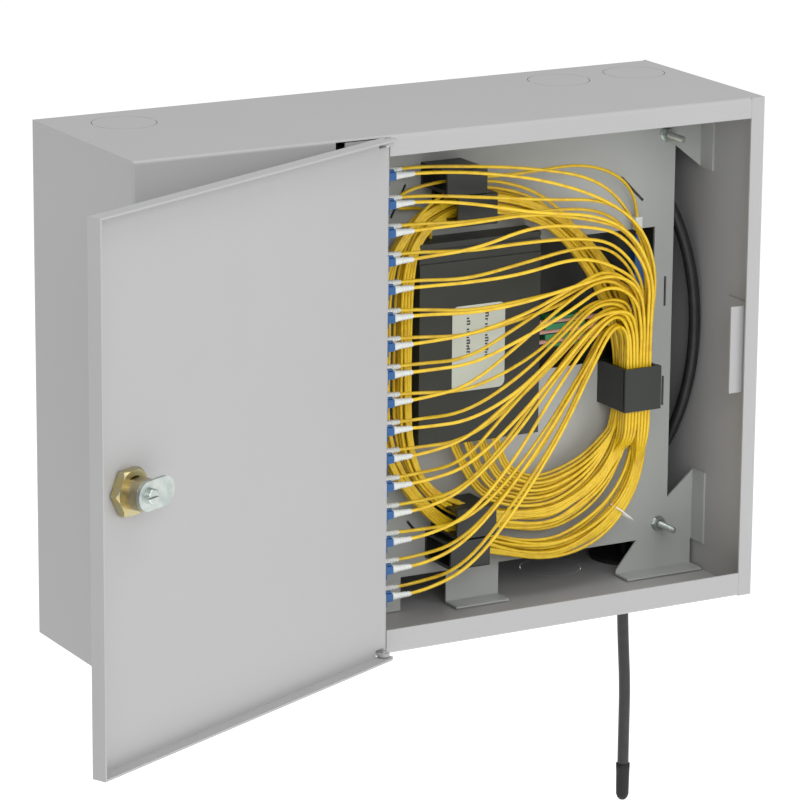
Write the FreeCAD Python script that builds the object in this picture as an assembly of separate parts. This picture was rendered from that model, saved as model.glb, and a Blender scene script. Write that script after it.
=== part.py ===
"""Wall-mounted fibre termination box with a splitter module, a coil of pigtails and a hinged, locking door.

Frame: millimetres, +Z up, +Y into the wall, +X to the right of somebody facing the box.
The origin is the centre of the four wall screw holes, on the back face of the case.
The door is modelled shut and then turned to its stored, open position.
"""
import FreeCAD, Part
import math
import os

V = FreeCAD.Vector
X_AXIS = V(1, 0, 0)
Y_AXIS = V(0, 1, 0)
Z_AXIS = V(0, 0, 1)

# ---- driving sizes -------------------------------------------------------------------------------
CASE_W = 404.0
CASE_H = 300.0
CASE_D = 130.0
SHEET = 1.2
BEND_R = 1.8
TOP_LIP = 12.0
BOTTOM_LIP = 14.0
END_LIP = 9.0
SEAM = 0.1
WALL_HOLE_DX = 300.0
WALL_HOLE_DZ = 220.0
WALL_HOLE_R = 3.5

# patch bay on the left and the post that carries the hinge and the adapters
FIXED_PANEL_W = 123.0
POST_GAP = 6.0
POST_STRIP_W = 27.5
POST_END_GAP = 0.6
LIP_GAP = 0.5
WEB_INSET = 2.5
WEB_FOOT_W = 13.0

# knockouts for cable glands, the same pattern in the roof and the floor
KNOCKOUT_X = (-160.0, 122.0, 174.0)
KNOCKOUT_FROM_BACK = 32.0
KNOCKOUT_R = 18.5
KNOCKOUT_GAP = 0.4
BRIDGE_W = 3.0

# door
DOOR_DEPTH = 9.0
DOOR_GAP = 1.0
DOOR_OPEN = 155.0
HINGE_INSET = 5.0
HINGE_SET = 3.4
HINGE_EDGE = 4.0
EAR_R = 5.4
NOTCH_H = 4.3
NOTCH_U = 4.5
LUG_R = 3.4
LUG_T = 1.8
PIN_R = 1.5
PIN_FIT = 0.02
PIN_RUN = 0.06
PIN_PROUD = 0.4
PIN_LOW = 1.0

# lock
LOCK_FROM_EDGE = 28.0
BARREL_R = 9.0
BARREL_FLAT = 8.0
HOLE_CLEAR = 0.1
HEAD_R = 11.0
HEAD_T = 2.0
PLUG_R = 6.0
PLUG_FIT = 0.05
CAM_BEHIND = 5.4
CAM_T = 2.0
CAM_W = 16.0
CAM_TAIL = 9.0
CAM_REACH = 20.0
TANG_R = 4.0
KEYWAY = (1.4, 7.5, 5.0)
NUT_AF = 24.0
NUT_T = 5.0
LOCK_WASHER_R = 11.8
LOCK_WASHER_T = 1.0
CAM_SCREW_R = 4.2
CAM_SCREW_T = 2.8
CAM_SHANK_R = 2.0
CAM_SHANK_L = 7.0
STRIKE_W = 15.6
STRIKE_L = 52.0
STRIKE_FOOT = 24.0
STRIKE_GAP = 0.4

# chassis plate, parallel to the back wall
PLATE_FROM_FRONT = 63.0
PLATE_PAST_WEB = 18.0
PLATE_SIDE_GAP = 18.8
PLATE_END_GAP = 0.6
CORNER_SLIT = 1.6
TAB_FORWARD = 13.0
UPPER_TAB = (112.0, 97.0)
LOWER_TAB = (-104.0, -88.0, -132.0)
FOOT_TAB = (29.5, 65.0)
FLOOR_CUT_Z = -128.0
LEFT_CUT_X = -1.0
RIGHT_CUT = (161.0, 147.0, -145.0)
WINDOW = (89.0, 169.0, 32.0, 64.0)
WINDOW_LOW = (89.0, 150.0, -14.0)
TIE_SLIT_W = 1.6
TIE_SLITS = ((152.5, 88.4, 22.0, -45.0), (-4.5, 96.5, 21.0, 63.0), (6.0, -98.0, 9.0, -50.0),
             (177.0, 24.0, 18.0, 90.0), (177.0, -37.0, 18.0, 90.0))
STUD_INSET = (9.0, 6.5)
STUD_Z = 119.0
STUD_R = 2.0
STUD_L = 19.0
STUD_HOLE_R = 2.3
STUD_WASHER = (4.5, 0.8)
STUD_NUT = (7.0, 3.2)
THREAD_FIT = 0.02

# patch panel
PLATES = 4
PLATE_MARGIN = 3.35
PLATE_SET = 5.5
PLATE_W = 40.0
PLATE_TAB = (32.6, 4.2, 2.0)
TAB_GAP = 0.2
ROWS_PER_PLATE = 4
ROW_PITCH = 16.35
PORT_SET = (18.0, 33.0)
WINDOW_CLEAR = 0.475
WINDOW_INSET = 3.5
ADAPTER_Y = 7.4
ADAPTER_Z = 9.6
ADAPTER_FLANGE = (9.6, 13.0, 1.5)
ADAPTER_OUT = 9.8
ADAPTER_IN = 18.0
ADAPTER_FIT = 0.1
PORT_HOLE = 5.0
PORT_DEPTH = 8.6
PLUG_SIDE = 4.6
PLUG_INSIDE = 8.0
PLUG_OUT = 5.0
BOOT_L = 12.5
BOOT_R = (2.3, 1.5)
CAP_HEAD = (7.0, 8.6, 5.0)

# splitter module
SPLITTER = (0.0, 80.0, -46.0, 74.0)
SPLITTER_T = 18.0
SPLITTER_WALL = 2.0
SPLITTER_LID = 3.0
LID_BANDS = ((62.0, 66.0), (70.0, 72.0))
LID_BAND_D = 0.8
LABEL = (21.5, 56.5, -15.3, 35.3)
LABEL_T = 0.2
LABEL_R = 4.0

# coiled pigtails
PIGTAIL_D = 2.0
RING_OFF = 10.0
RING_T = 8.0
RING_CLEAR = 1.0
RING_OUTER = ((-28, -48), (-28, 58), (2, 96), (46, 101), (88, 88), (128, 54), (149, 12), (150.5, -25),
              (163, -62), (157, -97), (128, -122), (90, -131), (46, -114), (0, -88))
RING_INNER = ((-2.5, -52), (-2.5, 60), (14, 86), (46, 88), (86, 77), (112, 48), (131, 8), (134, -25),
              (134, -58), (118, -84), (88, -99), (50, -95), (16, -78))
OUTLETS = ((58, -46), (62, -60), (86, -70), (106, -61), (120, -42), (131, -45), (131, -62), (112, -83),
           (84, -96), (46, -82), (24, -62), (20, -46))
RISE_X = (133.8, 151.2)
RISE_GAP = 0.9
RISE_TOP = -6.0
RISE_LOW = (-60.0, -88.0)
LAYER_START = (-94.2, -91.6, -89.0, -86.4)
LAYER_MID = (-121.4, -118.4, -115.4, -112.4)
COLUMN_START = 134.8
COLUMN_PITCH = 2.2
FAN_LOW = ((134.8, -6), (133, 10), (118, 16), (99, -12), (74, -48), (44, -84), (13, -112), (-9, -122.6))
FAN_MID = ((142.5, -6), (142, 12), (133, 34), (106, 44), (76, 32), (44, 16), (13, 3), (-9, 0))
FAN_HIGH = ((150.2, -6), (151, 16), (149, 48), (132, 80), (104, 103), (60, 116), (17, 122), (-9, 122.6))
FAN_FORWARD = (0.0, 0.06, 0.33, 0.55, 0.86, 1.0, 1.0)

# input pigtail with its in-line adapter
INPUT_X = 154.0
INPUT_ADAPTER = (9.0, 9.0, 6.0, 32.0)
INPUT_PLUG = (7.0, 20.0)
INPUT_BOOT_L = 10.0
INPUT_ROUTE = ((154, -71.5, 62), (154, -71.5, 76), (145, -76, 93), (127, -80, 105), (103, -84, 111),
               (78, -86.4, 110.4), (56, -87, 109.8), (34, -87, 110.4), (12, -86.6, 110.2), (-5, -83, 107),
               (-13, -78, 101), (-8, -73, 93.5), (2, -72, 93), (10, -72, 91.5), (14, -72, 84), (14, -72, 74))

# clips: low and high edge across the cords, start and end along them
CLIP_DEPTH = 31.0
CLIP_WALL = 2.0
CLIP_FLOOR = 2.5
GATE_T = 1.8
GATE_GAP = 0.2
GATE_LIP = (1.0, 4.0)
CLIPS = {"clip_top_inner": ("x", 17.3, 43.0, 86.0, 103.0, 1),
         "clip_top_outer": ("x", 10.0, 36.0, 104.5, 118.0, 1),
         "clip_bottom_inner": ("x", 19.0, 45.0, -100.5, -83.0, -1),
         "clip_bottom_outer": ("x", 15.0, 41.0, -118.0, -102.0, -1),
         "clip_right": ("z", -38.0, -12.0, 131.0, 155.0, -1)}
CLIP_CLEAR = 0.3

# splice tray behind the window
TRAY = (86.0, 170.0, -18.0, 66.0)
TRAY_D = 15.8
TRAY_WALL = 1.5
HOLDER = (99.0, 126.0, -3.0, 15.0, 8.5)
SLEEVE_R = 1.3
SLEEVE_X = (92.0, 149.0)
SLEEVE_Z = (0.0, 6.0, 12.0)
GROOVE_W = 2.8

# feed cable
CABLE_D = 7.0
GROMMET_R = 21.0
GROMMET_FLANGE = (3.0, 2.2)
NOZZLE = (9.0, 5.0, 15.0)
GROMMET_FIT = 0.05
CABLE_LOOP = ((174, -32, -158), (174, -32, -136), (179, -36, -112), (187.5, -47, -84), (194, -61, -54),
              (196.4, -70, -18), (196, -71, 20), (190.5, -66, 56), (178, -57, 88), (155, -50, 110),
              (124, -45, 121), (90, -42, 120), (56, -40, 108), (28, -38, 82), (9, -35, 46), (5, -33, 8),
              (14, -32, -24), (36, -32, -50), (66, -34, -64), (96, -40, -62), (118, -49, -48),
              (127, -56.5, -32), (127, -57.5, -18.8))
CABLE_TAIL = ((174, -32, -158), (174, -32, -178), (174.9, -32.5, -204), (176.6, -32.8, -232),
              (176.8, -32.2, -262), (176.8, -32.2, -283))
CAP_R = 4.3
CAP_L = 24.0
SADDLE = (12.0, 22.0, 2.0)
SADDLE_POINTS = (9, 14, 18)
ARC_SHARE = 0.45

# ---- derived places ------------------------------------------------------------------------------
HALF_W = CASE_W / 2
HALF_H = CASE_H / 2
FRONT = -CASE_D
WALL_X = HALF_W - SHEET
FLOOR_Z = HALF_H - SHEET
FIXED_EDGE = -HALF_W + FIXED_PANEL_W
STRIP_X = FIXED_EDGE + POST_GAP
STRIP_END = STRIP_X + POST_STRIP_W
POST_END = FLOOR_Z - POST_END_GAP
WEB_X = STRIP_END - WEB_INSET
HINGE_X = STRIP_END - HINGE_INSET
OPENING_RIGHT = HALF_W - END_LIP
OPENING_TOP = HALF_H - TOP_LIP
OPENING_BOTTOM = -HALF_H + BOTTOM_LIP
PLATE_Y = FRONT + PLATE_FROM_FRONT
PLATE_RIGHT = WALL_X - PLATE_SIDE_GAP
PLATE_END = FLOOR_Z - PLATE_END_GAP
PLATE_LEFT = WEB_X - PLATE_PAST_WEB
STUD_X = (WEB_X - STUD_INSET[0], PLATE_RIGHT - STUD_INSET[1])
PLATE_PITCH = ROWS_PER_PLATE * ROW_PITCH
ROWS_H = (ROWS_PER_PLATE - 1) * ROW_PITCH + ADAPTER_Z
PLATE_H = ROWS_H + PLATE_MARGIN
PLATE_FRONT = FRONT + PLATE_SET
PLATE_BACK = PLATE_FRONT + PLATE_W
PORT_Y = tuple(FRONT + depth for depth in PORT_SET)
DOOR_Y = FRONT - DOOR_GAP - DOOR_DEPTH
HINGE_Y = DOOR_Y + HINGE_SET
LOCK_X = HALF_W - LOCK_FROM_EDGE
CAM_Y = FRONT + CAM_BEHIND
STRIKE_Y = CAM_Y - STRIKE_GAP
CLIP_FRONT = PLATE_Y - CLIP_DEPTH
RING_BACK = PLATE_Y - RING_OFF
RISE_FRONT = CLIP_FRONT + GATE_T + RISE_GAP
INPUT_Y = PLATE_Y - INPUT_ADAPTER[1] / 2
PANEL_IN = DOOR_Y + SHEET
FACE_X = WEB_X + SHEET


# ---- small helpers -------------------------------------------------------------------------------
def block(x0, x1, y0, y1, z0, z1):
    """A box between two values on each axis, given in either order."""
    low = V(min(x0, x1), min(y0, y1), min(z0, z1))
    return Part.makeBox(abs(x1 - x0), abs(y1 - y0), abs(z1 - z0), low)


def rod(radius, start, end):
    """A solid cylinder between two points."""
    way = end.sub(start)
    return Part.makeCylinder(radius, way.Length, start, way)


def prism_y(points, y0, y1):
    """A flat outline in X and Z, extruded along Y."""
    corners = [V(x, y0, z) for x, z in points]
    wire = Part.makePolygon(corners + corners[:1])
    return Part.Face(wire).extrude(V(0, y1 - y0, 0))


def hexagon(across_flats, centre, way, length):
    """A hexagonal prism along Y."""
    radius = across_flats / math.sqrt(3)
    turns = [math.radians(60 * i) for i in range(7)]
    corners = [centre.add(V(radius * math.cos(a), 0, radius * math.sin(a))) for a in turns]
    return Part.Face(Part.makePolygon(corners)).extrude(V(0, way * length, 0))


def fuse(shapes):
    """One solid from shapes that touch, with the seams between flush faces removed."""
    whole = shapes[0].multiFuse(shapes[1:])
    return whole.removeSplitter()


def group(solids):
    """Separate solids kept together in one node."""
    return Part.makeCompound(solids)


def rounded_edges(points, closed=False):
    """Straight runs joined by tangent arcs, and the arcs' radii."""
    count = len(points)
    corners = range(count) if closed else range(1, count - 1)
    arcs = {}
    radii = []
    for i in corners:
        before, here, after = points[i - 1], points[i], points[(i + 1) % count]
        back = before.sub(here)
        ahead = after.sub(here)
        turn = math.pi - back.getAngle(ahead)
        reach = ARC_SHARE * min(back.Length, ahead.Length)
        radius = reach / math.tan(turn / 2)
        first = here.add(back.multiply(reach / back.Length))
        last = here.add(ahead.multiply(reach / ahead.Length))
        middle = first.add(last).multiply(0.5)
        inward = middle.sub(here)
        centre_gap = math.hypot(radius, reach)
        top = here.add(inward.multiply((centre_gap - radius) / inward.Length))
        arcs[i] = (first, top, last)
        radii.append(radius)
    edges = []
    legs = count if closed else count - 1
    for i in range(legs):
        following = (i + 1) % count
        start = arcs[i][2] if i in arcs else points[i]
        end = arcs[following][0] if following in arcs else points[following]
        edges.append(Part.LineSegment(start, end).toShape())
        if following in arcs:
            edges.append(Part.Arc(*arcs[following]).toShape())
    return edges, radii


def tube(name, route, diameter):
    """A round cord along straight runs and tangent arcs, checked by its volume."""
    points = [V(*p) for p in route]
    edges, radii = rounded_edges(points)
    path = Part.Wire(edges)
    way = points[1].sub(points[0])
    ring = Part.Wire([Part.Circle(points[0], way, diameter / 2).toShape()])
    solid = path.makePipeShell([ring], True, False)
    expected = math.pi * diameter ** 2 / 4 * path.Length
    error = abs(solid.Volume / expected - 1)
    if error > 0.01 or not solid.isValid():
        print("CHECK", name, "volume error", round(error, 4), "valid", solid.isValid())
    return solid, path.Length, min(radii)


def band(outline, y0, thickness):
    """A closed outline in X and Z with every corner rounded, extruded along Y."""
    edges, _ = rounded_edges([V(x, y0, z) for x, z in outline], closed=True)
    return Part.Face(Part.Wire(edges)).extrude(V(0, thickness, 0))


# ---- case ----------------------------------------------------------------------------------------
def case_wrap():
    """Back, roof, floor, left side and fixed front panel, folded and welded from one sheet."""
    outer = block(-HALF_W, WALL_X, FRONT, 0, -HALF_H, HALF_H)
    bends = [e for e in outer.Edges if bend_edge(e)]
    outer = outer.makeFillet(BEND_R, bends)
    inner = block(-HALF_W + SHEET, WALL_X, FRONT + SHEET, -SHEET, -FLOOR_Z, FLOOR_Z)
    inner = inner.makeFillet(BEND_R - SHEET, [e for e in inner.Edges if bend_edge(e)])
    lip_start = STRIP_END + LIP_GAP
    cuts = [inner,
            block(FIXED_EDGE, lip_start, FRONT - 1, FRONT + SHEET + 1, -FLOOR_Z, FLOOR_Z),
            block(lip_start, WALL_X + 1, FRONT - 1, FRONT + SHEET + 1, OPENING_BOTTOM, OPENING_TOP),
            block(OPENING_RIGHT - SEAM, WALL_X + 1, FRONT - 1, FRONT + SHEET, -HALF_H - 1, HALF_H + 1)]
    for x in (-WALL_HOLE_DX / 2, WALL_HOLE_DX / 2):
        for z in (-WALL_HOLE_DZ / 2, WALL_HOLE_DZ / 2):
            cuts.append(rod(WALL_HOLE_R, V(x, -SHEET - 1, z), V(x, 1, z)))
    for x in KNOCKOUT_X:
        for z in (-HALF_H, HALF_H):
            cuts.append(rod(KNOCKOUT_R, V(x, -KNOCKOUT_FROM_BACK, z - 3), V(x, -KNOCKOUT_FROM_BACK, z + 3)))
    return outer.cut(cuts)


def bend_edge(edge):
    """True for the long edges along X and for the upright edges of the left side."""
    box = edge.BoundBox
    along_x = box.XLength > 1
    upright_left = box.ZLength > 1 and box.XMax < 0
    return along_x or upright_left


def right_end():
    """Right side with its front return lip, welded into the wrap."""
    side = block(WALL_X, HALF_W, FRONT, 0, -HALF_H, HALF_H)
    lip = block(OPENING_RIGHT, HALF_W, FRONT, FRONT + SHEET, -HALF_H, HALF_H)
    whole = fuse([side, lip])
    corner = [e for e in whole.Edges if e.BoundBox.ZLength > 1 and e.BoundBox.XMin > HALF_W - 0.1
              and e.BoundBox.YMax < FRONT + 0.1]
    return whole.makeFillet(BEND_R - SHEET, corner)


def hinge_post():
    """Folded post: front strip with the two hinge lugs, web for the adapters and foot on the chassis."""
    strip = block(STRIP_X, STRIP_END, FRONT, FRONT + SHEET, -POST_END, POST_END)
    web = block(WEB_X - SHEET, WEB_X, FRONT, PLATE_Y, -POST_END, POST_END)
    foot = block(WEB_X - WEB_FOOT_W, WEB_X, PLATE_Y - SHEET, PLATE_Y, -POST_END, POST_END)
    pieces = [strip, web, foot]
    for side in (-1, 1):
        z0 = side * (POST_END - LUG_T)
        z1 = side * POST_END
        pieces.append(block(HINGE_X - LUG_R, HINGE_X + LUG_R, HINGE_Y, FRONT, z0, z1))
        pieces.append(rod(LUG_R, V(HINGE_X, HINGE_Y, z0), V(HINGE_X, HINGE_Y, z1)))
    whole = fuse(pieces)
    cuts = [rod(PIN_R + PIN_FIT, V(HINGE_X, HINGE_Y, -HALF_H), V(HINGE_X, HINGE_Y, HALF_H))]
    half = ROWS_H / 2 + WINDOW_CLEAR
    for z in plate_centres():
        cuts.append(block(WEB_X - SHEET - 1, WEB_X + 1, PLATE_FRONT + WINDOW_INSET,
                          PLATE_BACK - WINDOW_INSET, z - half, z + half))
        notch = PLATE_TAB[0] / 2 + TAB_GAP
        cuts.append(block(WEB_X - PLATE_TAB[2] - TAB_GAP, STRIP_END + 1, FRONT - 1, FRONT + SHEET + TAB_GAP,
                          z - notch, z + notch))
    for z in (-STUD_Z, STUD_Z):
        cuts.append(rod(STUD_HOLE_R, V(STUD_X[0], PLATE_Y - SHEET - 1, z), V(STUD_X[0], PLATE_Y + 1, z)))
    return whole.cut(cuts)


def plate_centres():
    """Heights of the adapter plates' centres, from the bottom up."""
    return [(i - (PLATES - 1) / 2) * PLATE_PITCH for i in range(PLATES)]


def knockout_discs():
    """Punched discs that still sit in their holes, each held by two bridges."""
    discs = []
    for top in (True, False):
        z0 = FLOOR_Z if top else -HALF_H
        for x in KNOCKOUT_X:
            if not top and x == KNOCKOUT_X[-1]:
                continue
            low = V(x, -KNOCKOUT_FROM_BACK, z0)
            high = V(x, -KNOCKOUT_FROM_BACK, z0 + SHEET)
            disc = rod(KNOCKOUT_R - KNOCKOUT_GAP, low, high)
            bar = block(x - KNOCKOUT_R - 1, x + KNOCKOUT_R + 1, -KNOCKOUT_FROM_BACK - BRIDGE_W / 2,
                        -KNOCKOUT_FROM_BACK + BRIDGE_W / 2, z0, z0 + SHEET)
            bridges = bar.common(rod(KNOCKOUT_R, low, high))
            discs.append(fuse([disc, bridges]))
    return group(discs)


def strike_bracket():
    """Angle on the right side that the lock's cam turns behind."""
    half = STRIKE_L / 2
    leg = block(WALL_X - STRIKE_W, WALL_X, STRIKE_Y - SHEET, STRIKE_Y, -half, half)
    foot = block(WALL_X - SHEET, WALL_X, STRIKE_Y, STRIKE_Y + STRIKE_FOOT, -half, half)
    return fuse([leg, foot])


# ---- door and lock -------------------------------------------------------------------------------
def opened(shape):
    """Turns a piece modelled with the door shut to where it is with the door open."""
    turned = shape.copy()
    turned.rotate(V(HINGE_X, HINGE_Y, 0), Z_AXIS, -DOOR_OPEN)
    return turned


def hinge_pins():
    """The two short pins pressed into the post's lugs."""
    pins = []
    for side in (-1, 1):
        low = V(HINGE_X, HINGE_Y, side * (POST_END - LUG_T - PIN_LOW))
        high = V(HINGE_X, HINGE_Y, side * (HALF_H + PIN_PROUD))
        pins.append(rod(PIN_R, low, high))
    return group(pins)


def door_panel():
    """Shallow tray: panel, flanges above, below and at the free edge, ears round the hinge pins."""
    left = HINGE_X - HINGE_EDGE
    tip = FRONT - DOOR_GAP
    panel = block(left, HALF_W, DOOR_Y, PANEL_IN, -HALF_H, HALF_H)
    free = block(WALL_X, HALF_W, DOOR_Y, tip, -HALF_H, HALF_H)
    keep = block(HINGE_X, HALF_W, DOOR_Y, tip, -HALF_H, HALF_H)
    keep = keep.fuse(rod(EAR_R, V(HINGE_X, HINGE_Y, -HALF_H), V(HINGE_X, HINGE_Y, HALF_H)))
    flanges = []
    cuts = []
    for side in (-1, 1):
        flange = block(left, HALF_W, DOOR_Y, tip, side * FLOOR_Z, side * HALF_H)
        flanges.append(flange.common(keep))
        cuts.append(block(left - 1, HINGE_X + NOTCH_U, DOOR_Y - 1, PANEL_IN + 1,
                          side * (FLOOR_Z - NOTCH_H), side * FLOOR_Z))
    whole = fuse([panel, free] + flanges)
    soft = [e for e in whole.Edges if e.BoundBox.YMax < DOOR_Y + 0.01
            and (e.BoundBox.XMin > HALF_W - 0.1 or (abs(e.BoundBox.ZMin) > HALF_H - 0.1
                                                    and e.BoundBox.XLength > 100))]
    whole = whole.makeFillet(BEND_R - SHEET, soft)
    cuts.append(rod(PIN_R + PIN_RUN, V(HINGE_X, HINGE_Y, -HALF_H - 1), V(HINGE_X, HINGE_Y, HALF_H + 1)))
    hole = rod(BARREL_R + HOLE_CLEAR, V(LOCK_X, DOOR_Y - 1, 0), V(LOCK_X, PANEL_IN + 1, 0))
    flats = block(LOCK_X - 20, LOCK_X + 20, DOOR_Y - 1, PANEL_IN + 1,
                  -BARREL_FLAT - HOLE_CLEAR, BARREL_FLAT + HOLE_CLEAR)
    cuts.append(hole.common(flats))
    return opened(whole.cut(cuts))


def lock_barrel():
    """Lock housing with its round head outside the door and two flats along the thread."""
    body = rod(BARREL_R, V(LOCK_X, DOOR_Y, 0), V(LOCK_X, CAM_Y, 0))
    flats = block(LOCK_X - 20, LOCK_X + 20, DOOR_Y, CAM_Y, -BARREL_FLAT, BARREL_FLAT)
    head = rod(HEAD_R, V(LOCK_X, DOOR_Y - HEAD_T, 0), V(LOCK_X, DOOR_Y, 0))
    whole = fuse([body.common(flats), head])
    bore = rod(PLUG_R + PLUG_FIT, V(LOCK_X, DOOR_Y - HEAD_T - 1, 0), V(LOCK_X, CAM_Y + 1, 0))
    return opened(whole.cut(bore))


def lock_washer():
    """Flat washer between the door and the lock nut."""
    near = V(LOCK_X, PANEL_IN, 0)
    far = V(LOCK_X, PANEL_IN + LOCK_WASHER_T, 0)
    return opened(rod(LOCK_WASHER_R, near, far).cut(rod(BARREL_R + THREAD_FIT, near, far)))


def lock_nut():
    """Thin hexagonal nut that clamps the lock in the door."""
    seat = V(LOCK_X, PANEL_IN + LOCK_WASHER_T, 0)
    nut = hexagon(NUT_AF, seat, 1, NUT_T)
    cone = Part.makeCone(NUT_AF / 2 + NUT_T, NUT_AF / 2 + 0.4, NUT_T, seat, Y_AXIS)
    bore = rod(BARREL_R + THREAD_FIT, seat, seat.add(V(0, NUT_T, 0)))
    return opened(nut.common(cone).cut(bore))


def lock_plug():
    """Turning core of the lock with its keyway in front and its tang through the cam."""
    core = rod(PLUG_R, V(LOCK_X, DOOR_Y - HEAD_T, 0), V(LOCK_X, CAM_Y, 0))
    tang = rod(TANG_R, V(LOCK_X, CAM_Y, 0), V(LOCK_X, CAM_Y + CAM_T, 0))
    width, height, depth = KEYWAY
    slot = block(LOCK_X - width / 2, LOCK_X + width / 2, DOOR_Y - HEAD_T - 1, DOOR_Y - HEAD_T + depth,
                 -height / 2, height / 2)
    bore = rod(CAM_SHANK_R + THREAD_FIT, V(LOCK_X, CAM_Y + CAM_T - CAM_SHANK_L, 0),
               V(LOCK_X, CAM_Y + CAM_T, 0))
    return opened(fuse([core, tang]).cut([slot, bore]))


def lock_cam():
    """Flat cam that swings behind the strike bracket; at rest it points to the hinge."""
    half = CAM_W / 2
    tail = V(LOCK_X + CAM_TAIL - half, CAM_Y, 0)
    reach = V(LOCK_X - CAM_REACH + half, CAM_Y, 0)
    bar = block(reach.x, tail.x, CAM_Y, CAM_Y + CAM_T, -half, half)
    ends = [rod(half, p, p.add(V(0, CAM_T, 0))) for p in (tail, reach)]
    hole = rod(TANG_R + THREAD_FIT, V(LOCK_X, CAM_Y, 0), V(LOCK_X, CAM_Y + CAM_T, 0))
    return opened(fuse([bar] + ends).cut(hole))


def cam_screw():
    """Screw that holds the cam on the tang."""
    seat = V(LOCK_X, CAM_Y + CAM_T, 0)
    head = rod(CAM_SCREW_R, seat, seat.add(V(0, CAM_SCREW_T, 0)))
    rim = [e for e in head.Edges if e.BoundBox.YMin > seat.y + 0.1 and e.BoundBox.YLength < 0.1]
    head = head.makeFillet(0.8, rim)
    shank = rod(CAM_SHANK_R, seat.sub(V(0, CAM_SHANK_L - 0.5, 0)), seat)
    slot = block(LOCK_X - CAM_SCREW_R, LOCK_X + CAM_SCREW_R, seat.y + CAM_SCREW_T - 1.2,
                 seat.y + CAM_SCREW_T, -0.6, 0.6)
    return opened(fuse([head, shank]).cut(slot))


# ---- chassis -------------------------------------------------------------------------------------
def chassis_plate():
    """Plate that carries the splitter and the clips, tied to the side and the floor by bent tabs."""
    upper_in, upper_out = UPPER_TAB
    lower_in, lower_out, lower_end = LOWER_TAB
    cut_right, cut_low, cut_turn = RIGHT_CUT
    foot_left, foot_right = FOOT_TAB
    bottom = -PLATE_END
    outline = ((PLATE_LEFT, PLATE_END), (WALL_X, PLATE_END), (WALL_X, upper_out), (PLATE_RIGHT, upper_in),
               (PLATE_RIGHT, lower_in), (WALL_X, lower_out), (WALL_X, lower_end),
               (WALL_X - CORNER_SLIT, lower_end), (WALL_X - CORNER_SLIT, bottom),
               (cut_low, bottom), (cut_low, cut_turn),
               (cut_right, FLOOR_CUT_Z), (foot_right, FLOOR_CUT_Z), (foot_right, bottom),
               (foot_left, bottom), (foot_left, FLOOR_CUT_Z), (LEFT_CUT_X, FLOOR_CUT_Z),
               (LEFT_CUT_X, bottom), (PLATE_LEFT, bottom))
    plate = prism_y(outline, PLATE_Y, PLATE_Y + SHEET)
    tip = PLATE_Y - TAB_FORWARD
    back = PLATE_Y + SHEET
    wall = WALL_X - SHEET
    tabs = [block(wall, WALL_X, tip, back, upper_out, PLATE_END),
            block(wall, WALL_X, tip, back, lower_end, lower_out),
            block(foot_left, foot_right, tip, back, bottom, bottom + SHEET),
            block(cut_low, WALL_X - CORNER_SLIT, tip, back, bottom, bottom + SHEET)]
    whole = fuse([plate] + tabs)
    x0, x1, z0, z1 = WINDOW
    low_x0, low_x1, low_z0 = WINDOW_LOW
    y0 = PLATE_Y - 1
    y1 = back + 1
    cuts = [block(x0, x1, y0, y1, z0, z1), block(low_x0, low_x1, y0, y1, low_z0, z0 + 1)]
    for x, z, length, angle in TIE_SLITS:
        slit = block(x - length / 2, x + length / 2, y0, y1, z - TIE_SLIT_W / 2, z + TIE_SLIT_W / 2)
        slit.rotate(V(x, PLATE_Y, z), Y_AXIS, -angle)
        cuts.append(slit)
    for x in STUD_X:
        for z in (-STUD_Z, STUD_Z):
            cuts.append(rod(STUD_R + THREAD_FIT, V(x, y0, z), V(x, y1, z)))
    return whole.cut(cuts)


def stud_places():
    """Each stud's X and Z, and the face that its washer sits on."""
    return [(x, z, PLATE_Y - SHEET if x == STUD_X[0] else PLATE_Y)
            for x in STUD_X for z in (-STUD_Z, STUD_Z)]


def mounting_studs():
    """Threaded studs pressed into the chassis plate from behind."""
    return group([rod(STUD_R, V(x, PLATE_Y + SHEET, z), V(x, PLATE_Y - STUD_L, z))
                  for x, z, _ in stud_places()])


def stud_washers():
    """Flat washers on the studs."""
    radius, thick = STUD_WASHER
    rings = []
    for x, z, seat in stud_places():
        disc = rod(radius, V(x, seat, z), V(x, seat - thick, z))
        rings.append(disc.cut(rod(STUD_R + THREAD_FIT, V(x, seat + 1, z), V(x, seat - thick - 1, z))))
    return group(rings)


def stud_nuts():
    """Hexagonal nuts on the studs."""
    flats, thick = STUD_NUT
    nuts = []
    for x, z, seat in stud_places():
        face = seat - STUD_WASHER[1]
        nut = hexagon(flats, V(x, face, z), -1, thick)
        nuts.append(nut.cut(rod(STUD_R + THREAD_FIT, V(x, face + 1, z), V(x, face - thick - 1, z))))
    return group(nuts)


# ---- patch panel ---------------------------------------------------------------------------------
def row_heights(plate):
    """Heights of one adapter plate's rows of ports."""
    centre = plate_centres()[plate]
    middle = (ROWS_PER_PLATE - 1) / 2
    return [centre + (row - middle) * ROW_PITCH for row in range(ROWS_PER_PLATE)]


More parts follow.
